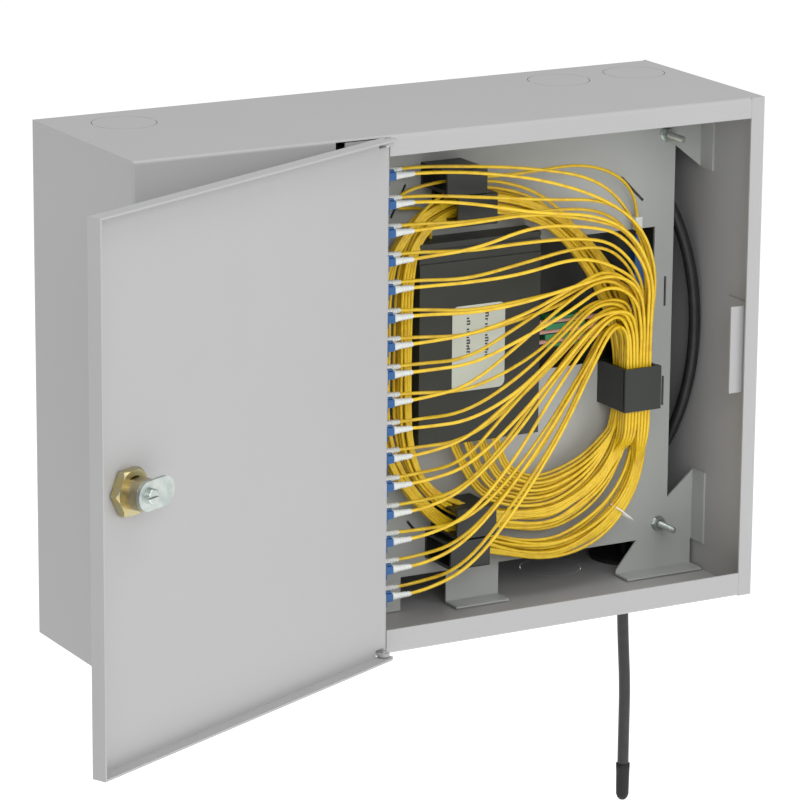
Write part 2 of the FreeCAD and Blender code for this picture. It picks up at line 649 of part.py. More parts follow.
def adapter_plate(plate):
    """Small plate on the post's web with a hole for each adapter and a tab that hooks in the strip."""
    z = plate_centres()[plate]
    face = block(WEB_X, FACE_X, PLATE_FRONT, PLATE_BACK, z - PLATE_H / 2, z + PLATE_H / 2)
    tab_h, tab_w, tab_back = PLATE_TAB
    neck = block(WEB_X, FACE_X, FRONT, PLATE_FRONT, z - tab_h / 2, z + tab_h / 2)
    tab = block(WEB_X - tab_back, WEB_X - tab_back + tab_w, FRONT, FRONT + SHEET,
                z - tab_h / 2, z + tab_h / 2)
    cuts = []
    for row in row_heights(plate):
        for y in PORT_Y:
            half_y = ADAPTER_Y / 2 + ADAPTER_FIT
            half_z = ADAPTER_Z / 2 + ADAPTER_FIT
            cuts.append(block(WEB_X - 1, FACE_X + 1, y - half_y, y + half_y, row - half_z, row + half_z))
    return fuse([face, neck, tab]).cut(cuts)


def adapters(plate):
    """The adapters of one plate: a flanged sleeve with a square socket at each end."""
    solids = []
    flange_y, flange_z, flange_t = ADAPTER_FLANGE
    half = PORT_HOLE / 2
    right = FACE_X + ADAPTER_OUT
    left = WEB_X - ADAPTER_IN
    for z in row_heights(plate):
        for y in PORT_Y:
            body = block(left, right, y - ADAPTER_Y / 2, y + ADAPTER_Y / 2,
                         z - ADAPTER_Z / 2, z + ADAPTER_Z / 2)
            flange = block(FACE_X, FACE_X + flange_t, y - flange_y / 2, y + flange_y / 2,
                           z - flange_z / 2, z + flange_z / 2)
            sockets = [block(right - PORT_DEPTH, right, y - half, y + half, z - half, z + half),
                       block(left, left + PORT_DEPTH, y - half, y + half, z - half, z + half)]
            solids.append(fuse([body, flange]).cut(sockets))
    return group(solids)


def ports():
    """Every port's row number, column number, Y and Z, from the bottom up."""
    rows = [z for plate in range(PLATES) for z in row_heights(plate)]
    return [(row, column, y, z) for row, z in enumerate(rows) for column, y in enumerate(PORT_Y)]


def connector_bodies():
    """Plugs of the pigtails, each seated in its adapter."""
    half = PLUG_SIDE / 2
    right = FACE_X + ADAPTER_OUT
    return group([block(right - PLUG_INSIDE, right + PLUG_OUT, y - half, y + half, z - half, z + half)
                  for _, _, y, z in ports()])


def connector_boots():
    """Tapered bend-relief boots behind the plugs."""
    start = FACE_X + ADAPTER_OUT + PLUG_OUT
    return group([Part.makeCone(BOOT_R[0], BOOT_R[1], BOOT_L, V(start, y, z), X_AXIS)
                  for _, _, y, z in ports()])


def dust_caps():
    """Caps in the customer side of every adapter."""
    half = PLUG_SIDE / 2
    width, height, length = CAP_HEAD
    left = WEB_X - ADAPTER_IN
    caps = []
    for _, _, y, z in ports():
        stem = block(left, left + PLUG_INSIDE, y - half, y + half, z - half, z + half)
        head = block(left - length, left, y - width / 2, y + width / 2, z - height / 2, z + height / 2)
        caps.append(fuse([stem, head]))
    return group(caps)


# ---- splitter ------------------------------------------------------------------------------------
def splitter_case():
    """Moulded box of the splitter module, open at the front."""
    x0, x1, z0, z1 = SPLITTER
    front = PLATE_Y - SPLITTER_T + SPLITTER_LID
    wall = SPLITTER_WALL
    outer = block(x0, x1, front, PLATE_Y, z0, z1)
    hollow = block(x0 + wall, x1 - wall, front, PLATE_Y - wall, z0 + wall, z1 - wall)
    return outer.cut(hollow)


def splitter_cover():
    """Lid of the splitter module with the stepped bands near its top."""
    x0, x1, z0, z1 = SPLITTER
    front = PLATE_Y - SPLITTER_T
    lid = block(x0, x1, front, front + SPLITTER_LID, z0, z1)
    bands = [block(x0 - 1, x1 + 1, front - 1, front + LID_BAND_D, low, high) for low, high in LID_BANDS]
    return lid.cut(bands)


def splitter_label():
    """Paper label on the lid."""
    x0, x1, z0, z1 = LABEL
    front = PLATE_Y - SPLITTER_T
    sheet = block(x0, x1, front - LABEL_T, front, z0, z1)
    return sheet.makeFillet(LABEL_R, [e for e in sheet.Edges if e.BoundBox.YLength > 0.9 * LABEL_T])


# ---- clips ---------------------------------------------------------------------------------------
def clip_box(run, start, end, low, high, y0, y1):
    """A box that is start to end along the cords and low to high across them."""
    if run == "x":
        return block(start, end, y0, y1, low, high)
    return block(low, high, y0, y1, start, end)


def clip_point(run, along, across, y):
    """A point at a place along and across the cords."""
    return V(along, y, across) if run == "x" else V(across, y, along)


def clip_base(name):
    """Floor on the chassis plate and two walls of a clip."""
    run, start, end, low, high, _ = CLIPS[name]
    top = CLIP_FRONT + GATE_T + GATE_GAP
    floor = clip_box(run, start, end, low, high, PLATE_Y - CLIP_FLOOR, PLATE_Y)
    walls = [clip_box(run, start, end, low, low + CLIP_WALL, top, PLATE_Y),
             clip_box(run, start, end, high - CLIP_WALL, high, top, PLATE_Y)]
    return fuse([floor] + walls)


def clip_gate(name):
    """Hinged front of a clip with a lip over the wall it snaps to."""
    run, start, end, low, high, hinge = CLIPS[name]
    half = GATE_T / 2
    y = CLIP_FRONT + half
    pivot = high - half if hinge > 0 else low + half
    free = low if hinge > 0 else high
    lip_t, lip_h = GATE_LIP
    lip_edge = free - hinge * lip_t
    plate = clip_box(run, start, end, min(pivot, lip_edge), max(pivot, lip_edge), CLIP_FRONT,
                     CLIP_FRONT + GATE_T)
    lip = clip_box(run, start, end, min(free, lip_edge), max(free, lip_edge), CLIP_FRONT,
                   CLIP_FRONT + lip_h)
    knuckle = rod(half, clip_point(run, start, pivot, y), clip_point(run, end, pivot, y))
    return fuse([plate, lip, knuckle])


def clip_keep_out():
    """What the coil must leave free for the clips."""
    solids = []
    top = CLIP_FRONT
    for run, start, end, low, high, _ in CLIPS.values():
        gap = CLIP_CLEAR
        for edge in ((low - gap, low + CLIP_WALL + gap), (high - CLIP_WALL - gap, high + gap)):
            solids.append(clip_box(run, start - gap, end + gap, edge[0], edge[1], top, PLATE_Y))
    return solids


# ---- pigtails ------------------------------------------------------------------------------------
def pigtail_ring():
    """Outer shape of the coil of spare pigtail that the clips hold."""
    outer = band(RING_OUTER, RING_BACK, -RING_T)
    inner = band(RING_INNER, RING_BACK + 1, -RING_T - 2)
    x0, x1, z0, z1 = SPLITTER
    module = block(x0 - RING_CLEAR, x1 + RING_CLEAR, RING_BACK - RING_T, RING_BACK,
                   z0 - RING_CLEAR, z1 + RING_CLEAR)
    return outer.cut([inner, module] + clip_keep_out())


def pigtail_outlets():
    """Outer shape of the pigtails between the splitter and the coil."""
    edges, _ = rounded_edges([V(x, RING_BACK, z) for x, z in OUTLETS])
    edges.append(Part.LineSegment(V(OUTLETS[-1][0], RING_BACK, OUTLETS[-1][1]),
                                  V(OUTLETS[0][0], RING_BACK, OUTLETS[0][1])).toShape())
    whole = Part.Face(Part.Wire(edges)).extrude(V(0, -RING_T, 0))
    return whole.cut([pigtail_ring()] + clip_keep_out())


def pigtail_rise():
    """Outer shape of the pigtails that leave the coil and come up through the right clip."""
    x0, x1 = RISE_X
    back = RING_BACK - RING_T
    low_front, low_back = RISE_LOW
    corners = [V(x0, RISE_FRONT, RISE_TOP), V(x0, back, RISE_TOP), V(x0, back, low_back),
               V(x0, RISE_FRONT, low_front)]
    return Part.Face(Part.makePolygon(corners + corners[:1])).extrude(V(x1 - x0, 0, 0))


def fan_route(row, column, y_port, z_port):
    """Points of one pigtail from the right clip to its plug."""
    layer = 2 * column + row % 2
    share = row / (PLATES * ROWS_PER_PLATE - 1)
    start_x = COLUMN_START + (row // 2) * COLUMN_PITCH
    points = []
    last = len(FAN_LOW) - 1
    for i, (low, mid, high) in enumerate(zip(FAN_LOW, FAN_MID, FAN_HIGH)):
        first, second, part = (low, mid, 2 * share) if share < 0.5 else (mid, high, 2 * share - 1)
        x = first[0] + (second[0] - first[0]) * part
        z = first[1] + (second[1] - first[1]) * part
        if i == 0:
            x = start_x
        if i == last:
            points.append((x, y_port, z_port))
            break
        y = LAYER_START[layer] + (LAYER_MID[layer] - LAYER_START[layer]) * FAN_FORWARD[i]
        points.append((x, y, z))
    points.append((FACE_X + ADAPTER_OUT + PLUG_OUT + BOOT_L, y_port, z_port))
    return points


def pigtail_fan(group_number, report):
    """The pigtails that end at one adapter plate."""
    solids = []
    for row, column, y, z in ports():
        if row // ROWS_PER_PLATE == group_number:
            route = fan_route(row, column, y, z)
            solid, length, tightest = tube(f"pigtail {row} {column}", route, PIGTAIL_D)
            report.append((length, tightest))
            solids.append(solid)
    return group(solids)


# ---- input pigtail and splices -------------------------------------------------------------------
def input_adapter():
    """In-line adapter on the chassis plate between the feed and the splitter."""
    width, depth, z0, z1 = INPUT_ADAPTER
    body = block(INPUT_X - width / 2, INPUT_X + width / 2, PLATE_Y - depth, PLATE_Y, z0, z1)
    centre = (z0 + z1) / 2
    flange = block(INPUT_X - width / 2 - 1.5, INPUT_X + width / 2 + 1.5, PLATE_Y - depth, PLATE_Y,
                   centre - 1.5, centre + 1.5)
    return fuse([body, flange])


def input_connector():
    """Plug of the splitter's input pigtail with its tapered boot."""
    side, length = INPUT_PLUG
    foot = INPUT_ADAPTER[3]
    plug = block(INPUT_X - side / 2, INPUT_X + side / 2, INPUT_Y - side / 2, INPUT_Y + side / 2,
                 foot, foot + length)
    boot = Part.makeCone(2.8, 1.5, INPUT_BOOT_L, V(INPUT_X, INPUT_Y, foot + length), Z_AXIS)
    return fuse([plug, boot])


def splice_tray():
    """Shallow tray behind the window of the chassis plate."""
    x0, x1, z0, z1 = TRAY
    near = PLATE_Y + SHEET
    outer = block(x0, x1, near, near + TRAY_D, z0, z1)
    hollow = block(x0 + TRAY_WALL, x1 - TRAY_WALL, near, near + TRAY_D - TRAY_WALL,
                   z0 + TRAY_WALL, z1 - TRAY_WALL)
    return outer.cut(hollow)


def splice_holder():
    """Comb in the tray with a groove for each splice sleeve."""
    x0, x1, z0, z1, height = HOLDER
    base = PLATE_Y + SHEET + TRAY_D - TRAY_WALL
    body = block(x0, x1, base - height, base, z0, z1)
    grooves = [block(x0 - 1, x1 + 1, base - height - 1, base - height + GROOVE_W,
                     z - GROOVE_W / 2, z + GROOVE_W / 2) for z in SLEEVE_Z]
    return body.cut(grooves)


def splice_sleeves():
    """Heat-shrunk sleeves over the fusion splices."""
    base = PLATE_Y + SHEET + TRAY_D - TRAY_WALL
    y = base - HOLDER[4] + GROOVE_W - SLEEVE_R
    return group([rod(SLEEVE_R, V(SLEEVE_X[0], y, z), V(SLEEVE_X[1], y, z)) for z in SLEEVE_Z])


# ---- feed cable ----------------------------------------------------------------------------------
def cable_grommet():
    """Rubber grommet in the open knockout, with a nozzle that grips the feed cable."""
    x, y = KNOCKOUT_X[-1], -KNOCKOUT_FROM_BACK
    outside, inside = GROMMET_FLANGE
    wide, narrow, length = NOZZLE
    pieces = [rod(GROMMET_R, V(x, y, -HALF_H - outside), V(x, y, -HALF_H)),
              rod(KNOCKOUT_R, V(x, y, -HALF_H), V(x, y, -FLOOR_Z)),
              rod(GROMMET_R, V(x, y, -FLOOR_Z), V(x, y, -FLOOR_Z + inside)),
              Part.makeCone(narrow, wide, length - outside, V(x, y, -HALF_H - length), Z_AXIS)]
    bore = rod(CABLE_D / 2 + GROMMET_FIT, V(x, y, -HALF_H - length - 1), V(x, y, -FLOOR_Z + inside + 1))
    return fuse(pieces).cut(bore)


def cable_end_cap():
    """Heat-shrunk cap that seals the end of the hanging cable."""
    x, y, z = CABLE_TAIL[-1]
    body = rod(CAP_R, V(x, y, z), V(x, y, z - CAP_L))
    rim = [e for e in body.Edges if e.BoundBox.ZMax < z - CAP_L + 0.1]
    return body.makeFillet(CAP_R * 0.6, rim)


def cable_saddles():
    """Saddles on the back of the case that carry the loop of spare cable."""
    width, length, wall = SADDLE
    solids = []
    for i in SADDLE_POINTS:
        x0, y0, z0 = CABLE_LOOP[i]
        x1, y1, z1 = CABLE_LOOP[i + 1]
        x, y, z = (x0 + x1) / 2, (y0 + y1) / 2, (z0 + z1) / 2
        reach = CABLE_D / 2 + wall
        body = block(-length / 2, length / 2, -reach, -SHEET - y, -width / 2, width / 2)
        angle = math.degrees(math.atan2(z1 - z0, x1 - x0))
        body.rotate(V(0, 0, 0), Y_AXIS, -angle + 90)
        body.translate(V(x, y, z))
        solids.append(body.cut(loop_clearance(i)))
    return group(solids)


def loop_clearance(index):
    """A fatter copy of the cable near one of its runs."""
    near = CABLE_LOOP[index - 2:index + 4]
    solid, _, _ = tube("saddle clearance", near, CABLE_D + 0.2)
    return solid


# ---- everything ----------------------------------------------------------------------------------
def main():
    """Builds every node and writes one STEP file each."""
    os.makedirs("parts", exist_ok=True)
    for old in os.listdir("parts"):
        if old.endswith(".step"):
            os.remove(os.path.join("parts", old))
    fan = []
    loop, loop_length, loop_radius = tube("feed_cable_loop", CABLE_LOOP, CABLE_D)
    tail, tail_length, tail_radius = tube("feed_cable_tail", CABLE_TAIL, CABLE_D)
    feed, feed_length, feed_radius = tube("input_pigtail", INPUT_ROUTE, PIGTAIL_D)
    nodes = {"case_wrap": case_wrap(), "right_end": right_end(), "hinge_post": hinge_post(),
             "knockout_discs": knockout_discs(), "strike_bracket": strike_bracket(),
             "hinge_pins": hinge_pins(), "door_panel": door_panel(), "lock_barrel": lock_barrel(),
             "lock_washer": lock_washer(), "lock_nut": lock_nut(), "lock_plug": lock_plug(),
             "lock_cam": lock_cam(), "cam_screw": cam_screw(), "chassis_plate": chassis_plate(),
             "mounting_studs": mounting_studs(), "stud_washers": stud_washers(),
             "stud_nuts": stud_nuts(), "connector_bodies": connector_bodies(),
             "connector_boots": connector_boots(), "dust_caps": dust_caps(),
             "splitter_case": splitter_case(), "splitter_cover": splitter_cover(),
             "splitter_label": splitter_label(), "pigtail_ring": pigtail_ring(),
             "pigtail_outlets": pigtail_outlets(), "pigtail_rise": pigtail_rise(),
             "input_pigtail": feed, "input_adapter": input_adapter(),
             "input_connector": input_connector(), "splice_tray": splice_tray(),
             "splice_holder": splice_holder(), "splice_sleeves": splice_sleeves(),
             "cable_grommet": cable_grommet(), "feed_cable_loop": loop, "feed_cable_tail": tail,
             "cable_end_cap": cable_end_cap(), "cable_saddles": cable_saddles()}
    for i in range(PLATES):
        nodes[f"adapter_plate_{i + 1}"] = adapter_plate(i)
        nodes[f"adapters_{i + 1}"] = adapters(i)
        nodes[f"pigtails_{i + 1}"] = pigtail_fan(i, fan)
    for name in CLIPS:
        nodes[f"{name}_base"] = clip_base(name)
        nodes[f"{name}_gate"] = clip_gate(name)
    for name, shape in nodes.items():
        if not shape.isValid() or not shape.Solids:
            print("CHECK", name, "valid", shape.isValid(), "solids", len(shape.Solids))
        shape.exportStep(f"parts/{name}.step")
    print("nodes", len(nodes), "solids", sum(len(s.Solids) for s in nodes.values()))
    print("feed_cable_loop length", round(loop_length, 1), "tightest", round(loop_radius, 1))
    print("feed_cable_tail length", round(tail_length, 1), "tightest", round(tail_radius, 1))
    print("input_pigtail length", round(feed_length, 1), "tightest", round(feed_radius, 1))
    print("pigtail fan lengths", round(min(fan)[0], 1), "to", round(max(fan)[0], 1),
          "tightest", round(min(r for _, r in fan), 1))


if __name__ == "__main__":
    main()
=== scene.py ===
"""Looks of the fibre termination box: cords, moulded parts, finishes, light and camera.

Everything is in metres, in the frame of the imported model: +Z up, +Y into the wall.
"""
import logging
import math
import random
from dataclasses import dataclass, field
from enum import Enum
from typing import Dict, List, Optional, Sequence, Tuple, Union

import bmesh
import bpy
from mathutils import Matrix, Vector

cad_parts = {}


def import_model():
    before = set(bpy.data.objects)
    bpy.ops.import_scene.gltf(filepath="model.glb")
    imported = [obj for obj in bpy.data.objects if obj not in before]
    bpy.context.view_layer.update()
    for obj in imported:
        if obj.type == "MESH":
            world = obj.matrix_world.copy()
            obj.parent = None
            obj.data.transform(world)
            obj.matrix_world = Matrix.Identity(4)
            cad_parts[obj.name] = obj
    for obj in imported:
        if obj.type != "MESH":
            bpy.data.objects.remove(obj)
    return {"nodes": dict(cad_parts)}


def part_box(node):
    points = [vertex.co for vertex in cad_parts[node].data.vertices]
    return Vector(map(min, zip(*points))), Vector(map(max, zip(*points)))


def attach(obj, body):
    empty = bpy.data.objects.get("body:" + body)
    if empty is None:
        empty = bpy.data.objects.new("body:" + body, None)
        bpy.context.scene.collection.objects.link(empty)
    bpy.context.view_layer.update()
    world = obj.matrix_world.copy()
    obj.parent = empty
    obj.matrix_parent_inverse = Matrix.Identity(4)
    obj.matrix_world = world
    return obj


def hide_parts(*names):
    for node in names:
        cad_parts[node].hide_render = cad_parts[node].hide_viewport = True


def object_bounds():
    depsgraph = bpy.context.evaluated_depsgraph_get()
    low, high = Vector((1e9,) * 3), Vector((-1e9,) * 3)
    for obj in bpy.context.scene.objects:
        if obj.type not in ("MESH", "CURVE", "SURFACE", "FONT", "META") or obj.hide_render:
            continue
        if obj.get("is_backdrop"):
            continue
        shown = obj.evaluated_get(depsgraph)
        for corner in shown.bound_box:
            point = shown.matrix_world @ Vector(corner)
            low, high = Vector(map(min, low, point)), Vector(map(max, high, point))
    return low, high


LOG = logging.getLogger("termination_box")
MM = 0.001
WELD = 1e-6
Point = Tuple[float, float, float]
Colour = Tuple[float, float, float]


class Axis(Enum):
    """Direction in which a turned piece points."""

    RIGHT = (1.0, 0.0, 0.0)
    FORWARD = (0.0, -1.0, 0.0)
    DOWN = (0.0, 0.0, -1.0)


# ---- shader graph ---------------------------------------------------------------------------------
class Value:
    """An output socket on which arithmetic adds Math nodes."""

    def __init__(self, graph: "Graph", socket: Optional[bpy.types.NodeSocket]) -> None:
        """Keeps the graph that new nodes are added to."""
        self.graph = graph
        self.socket = socket

    def _math(self, operation: str, first: "Operand", second: "Operand") -> "Value":
        """Adds one Math node.

        Args:
            operation: The Math node's operation.
            first: Left operand.
            second: Right operand.

        Returns:
            The node's output.
        """
        return self.graph.add("ShaderNodeMath", {"operation": operation}, {0: first, 1: second})

    def __add__(self, other: "Operand") -> "Value":
        """Sum."""
        return self._math("ADD", self, other)

    def __radd__(self, other: "Operand") -> "Value":
        """Sum with a number first."""
        return self._math("ADD", other, self)

    def __sub__(self, other: "Operand") -> "Value":
        """Difference."""
        return self._math("SUBTRACT", self, other)

    def __rsub__(self, other: "Operand") -> "Value":
        """Difference with a number first."""
        return self._math("SUBTRACT", other, self)

    def __mul__(self, other: "Operand") -> "Value":
        """Product."""
        return self._math("MULTIPLY", self, other)

    def __rmul__(self, other: "Operand") -> "Value":
        """Product with a number first."""
        return self._math("MULTIPLY", other, self)


Operand = Union[Value, float, Tuple[float, ...]]


class Graph:
    """Node tree of one material."""

    def __init__(self, name: str) -> None:
        """Makes an empty material.

        Args:
            name: The material's name.
        """
        self.material = bpy.data.materials.new(name)
        self.material.use_nodes = True
        self.tree = self.material.node_tree
        self.tree.nodes.clear()

    def add(self, kind: str, settings: Optional[Dict] = None, values: Optional[Dict] = None,
            output: Union[int, str] = 0) -> Value:
        """Adds any node.

        Args:
            kind: The node's type.
            settings: Properties, and for a ramp its stops, set before the sockets.
            values: Numbers, tuples or Values for sockets, by name or index.
            output: Which output to return.

        Returns:
            The chosen output.
        """
        node = self.tree.nodes.new(kind)
        for key, setting in (settings or {}).items():
            if key == "stops":
                self._stops(node, setting)
            else:
                setattr(node, key, setting)
        for key, value in (values or {}).items():
            if isinstance(value, Value):
                self.tree.links.new(value.socket, node.inputs[key])
            else:
                node.inputs[key].default_value = value
        return Value(self, node.outputs[output] if len(node.outputs) else None)

    @staticmethod
    def _stops(node: bpy.types.Node, stops: Sequence[Tuple[float, float]]) -> None:
        """Sets a ramp's grey stops.

        Args:
            node: The ramp.
            stops: Positions and grey levels.
        """
        ramp = node.color_ramp
        for element, (place, level) in zip(ramp.elements, stops):
            element.position = place
            element.color = (level, level, level, 1.0)

    def place(self, scale: Point = (1.0, 1.0, 1.0)) -> Value:
        """Object coordinates, stretched by a scale."""
        spot = self.add("ShaderNodeTexCoord", output="Object")
        return self.add("ShaderNodeMapping", {}, {"Vector": spot, "Scale": scale})

    def noise(self, size: float, detail: float = 2.0, stretch: Point = (1.0, 1.0, 1.0)) -> Value:
        """Noise with a feature size in metres."""
        where = self.place(stretch)
        return self.add("ShaderNodeTexNoise", {}, {"Vector": where, "Scale": 1.0 / size,
                                                   "Detail": detail})

    def ramp(self, value: Value, low: float, high: float) -> Value:
        """Soft step between two levels."""
        return self.add("ShaderNodeValToRGB", {"stops": ((low, 0.0), (high, 1.0))}, {0: value})

    def mix(self, first: Operand, second: Operand, factor: Operand) -> Value:
        """Blend of two colours."""
        return self.add("ShaderNodeMix", {"data_type": "RGBA"}, {0: factor, 6: first, 7: second}, 2)

    def bump(self, height: Value, depth: float) -> Value:
        """Bump from a height, at a depth in metres."""
        return self.add("ShaderNodeBump", {}, {"Height": height, "Distance": depth, "Strength": 1.0})

    def surface(self, **sockets: Operand) -> bpy.types.Material:
        """Ends the tree with a Principled shader.

        Args:
            sockets: Values by socket name, with underscores for spaces.

        Returns:
            The finished material.
        """
        values = {name.replace("_", " "): value for name, value in sockets.items()}
        shader = self.add("ShaderNodeBsdfPrincipled", {}, values)
        self.add("ShaderNodeOutputMaterial", {}, {"Surface": shader})
        return self.material


def rgba(colour: Colour, gain: float = 1.0) -> Tuple[float, float, float, float]:
    """A colour with its brightness scaled."""
    return (colour[0] * gain, colour[1] * gain, colour[2] * gain, 1.0)


# ---- finishes -------------------------------------------------------------------------------------
@dataclass(frozen=True)
class PowderCoat:
    """Baked powder paint: fine orange peel, faint clouding and rubbed dust."""

    name: str
    colour: Colour
    roughness: float = 0.42
    peel: float = 0.0016
    peel_depth: float = 0.00004

    def build(self) -> bpy.types.Material:
        """Builds the paint."""
        graph = Graph(self.name)
        cloud = graph.noise(0.09, 3.0)
        grit = graph.noise(0.0005, 1.0)
        peel = graph.noise(self.peel, 2.0)
        base = graph.mix(rgba(self.colour, 0.965), rgba(self.colour, 1.03), cloud)
        speck = graph.ramp(grit, 0.62, 0.74)
        colour = graph.mix(base, rgba(self.colour, 0.9), speck * 0.25)
        rough = cloud * 0.1 + grit * 0.06 + (self.roughness - 0.08)
        height = peel * 0.7 + grit * 0.3
        return graph.surface(Base_Color=colour, Roughness=rough, Normal=graph.bump(height, self.peel_depth),
                             Specular_IOR_Level=0.45)


@dataclass(frozen=True)
class Plating:
    """Zinc plate on steel, clear or yellow, with handling marks."""

    name: str
    colour: Colour
    tint: Colour
    roughness: float = 0.28
    stretch: Point = (1.0, 1.0, 1.0)

    def build(self) -> bpy.types.Material:
        """Builds the plating."""
        graph = Graph(self.name)
        bloom = graph.noise(0.006, 4.0)
        scratch = graph.noise(0.0012, 3.0, self.stretch)
        colour = graph.mix(rgba(self.colour), rgba(self.tint), graph.ramp(bloom, 0.4, 0.65))
        rough = scratch * 0.22 + bloom * 0.1 + (self.roughness - 0.14)
        return graph.surface(Base_Color=colour, Metallic=1.0, Roughness=rough,
                             Normal=graph.bump(scratch, 0.00002))


@dataclass(frozen=True)
class Moulding:
    """Injection-moulded plastic with a spark-eroded grain."""

    name: str
    colour: Colour
    roughness: float = 0.4
    grain: float = 0.0004
    grain_depth: float = 0.00001
    specular: float = 0.5

    def build(self) -> bpy.types.Material:
        """Builds the plastic."""
        graph = Graph(self.name)
        grain = graph.noise(self.grain, 2.0)
        wear = graph.noise(0.012, 3.0)
        colour = graph.mix(rgba(self.colour, 0.94), rgba(self.colour, 1.08), wear)
        rough = wear * 0.16 + grain * 0.08 + (self.roughness - 0.12)
        return graph.surface(Base_Color=colour, Roughness=rough, Normal=graph.bump(grain, self.grain_depth),
                             Specular_IOR_Level=self.specular)


@dataclass(frozen=True)
class Jacket:
    """Extruded cable jacket, faintly wavy, its colour mixed in noisy patches with a painted shade colour."""

    name: str
    colour: Colour
    # painted shade: a shaded copy of the jacket colour, mixed in by noise
    painted_shade: Colour
    roughness: float = 0.36
    coat: float = 0.15

    def build(self) -> bpy.types.Material:
        """Builds the jacket."""
        graph = Graph(self.name)
        # this noise places the painted shade and also varies the roughness
        painted_shade_and_roughness_noise = graph.noise(0.007, 2.0)
        skin = graph.noise(0.0006, 2.0)
        # painted shade mixed with the lit colour
        colour = graph.mix(rgba(self.painted_shade), rgba(self.colour), graph.ramp(painted_shade_and_roughness_noise, 0.3, 0.55))
        rough = painted_shade_and_roughness_noise * 0.14 + skin * 0.08 + (self.roughness - 0.1)
        return graph.surface(Base_Color=colour, Roughness=rough, Normal=graph.bump(skin, 0.00001),
                             Coat_Weight=self.coat, Coat_Roughness=0.25)


@dataclass(frozen=True)
class Film:
    """Printed label film, slightly cockled."""

    name: str
    colour: Colour

    def build(self) -> bpy.types.Material:
        """Builds the film."""
        graph = Graph(self.name)
        cockle = graph.noise(0.011, 1.0)
        fibre = graph.noise(0.0004, 3.0)
        colour = graph.mix(rgba(self.colour, 0.96), rgba(self.colour), fibre)
        return graph.surface(Base_Color=colour, Roughness=cockle * 0.2 + 0.32,
                             Normal=graph.bump(cockle, 0.00012))


@dataclass(frozen=True)
class Seamless:
    """Pale studio floor with a glow of its own."""

    name: str
    colour: Colour
    glow: float = 0.55

    def build(self) -> bpy.types.Material:
        """Builds the floor's finish."""
        graph = Graph(self.name)
        fleck = graph.noise(0.4, 2.0)
        return graph.surface(Base_Color=graph.mix(rgba(self.colour, 0.99), rgba(self.colour), fleck),
                             Roughness=0.9, Emission_Color=rgba(self.colour), Emission_Strength=self.glow)


Finish = Union[PowderCoat, Plating, Moulding, Jacket, Film, Seamless]

CASE_PAINT = PowderCoat("case_paint", (0.375, 0.375, 0.378))
CHASSIS_PAINT = PowderCoat("chassis_paint", (0.41, 0.425, 0.412), 0.4)
CLEAR_ZINC = Plating("clear_zinc", (0.56, 0.60, 0.57), (0.44, 0.49, 0.47), 0.32, (1.0, 1.0, 6.0))
YELLOW_ZINC = Plating("yellow_zinc", (0.56, 0.46, 0.20), (0.50, 0.47, 0.30), 0.3)
DARK_BRASS = Plating("dark_brass", (0.50, 0.44, 0.30), (0.36, 0.31, 0.19), 0.36)
BLUE_PLASTIC = Moulding("blue_plastic", (0.008, 0.085, 0.26), 0.3)
DEEP_BLUE = Moulding("deep_blue_plastic", (0.010, 0.07, 0.20), 0.35)
WHITE_BOOT = Moulding("white_boot", (0.62, 0.64, 0.62), 0.45)
PALE_CAP = Moulding("pale_cap", (0.70, 0.71, 0.70), 0.4)
BLACK_ABS = Moulding("black_abs", (0.024, 0.028, 0.022), 0.42, 0.0007, 0.00003, 0.45)
BLACK_NYLON = Moulding("black_nylon", (0.011, 0.0135, 0.011), 0.36, 0.0005, 0.00002, 0.5)
TRAY_PLASTIC = Moulding("tray_plastic", (0.018, 0.020, 0.019), 0.5)
GREEN_PLASTIC = Moulding("green_plastic", (0.04, 0.30, 0.12), 0.4)
SLEEVE_FILM = Moulding("sleeve_film", (0.72, 0.40, 0.36), 0.25)
RUBBER = Moulding("black_rubber", (0.012, 0.012, 0.012), 0.62, 0.0008, 0.00004, 0.35)
# the second colour of each jacket is its painted shade
YELLOW_JACKET = Jacket("yellow_jacket", (0.74, 0.50, 0.012), (0.62, 0.38, 0.008))
BLACK_JACKET = Jacket("black_jacket", (0.012, 0.012, 0.013), (0.018, 0.018, 0.019), 0.45, 0.05)
LABEL_FILM = Film("label_film", (0.56, 0.60, 0.53))
LABEL_INK = Film("label_ink", (0.02, 0.02, 0.025))
TIE_FILM = Film("tie_film", (0.78, 0.78, 0.74))
TAG_FILM = Film("tag_film", (0.70, 0.72, 0.70))
STUDIO_FLOOR = Seamless("studio_floor", (0.93, 0.93, 0.93))


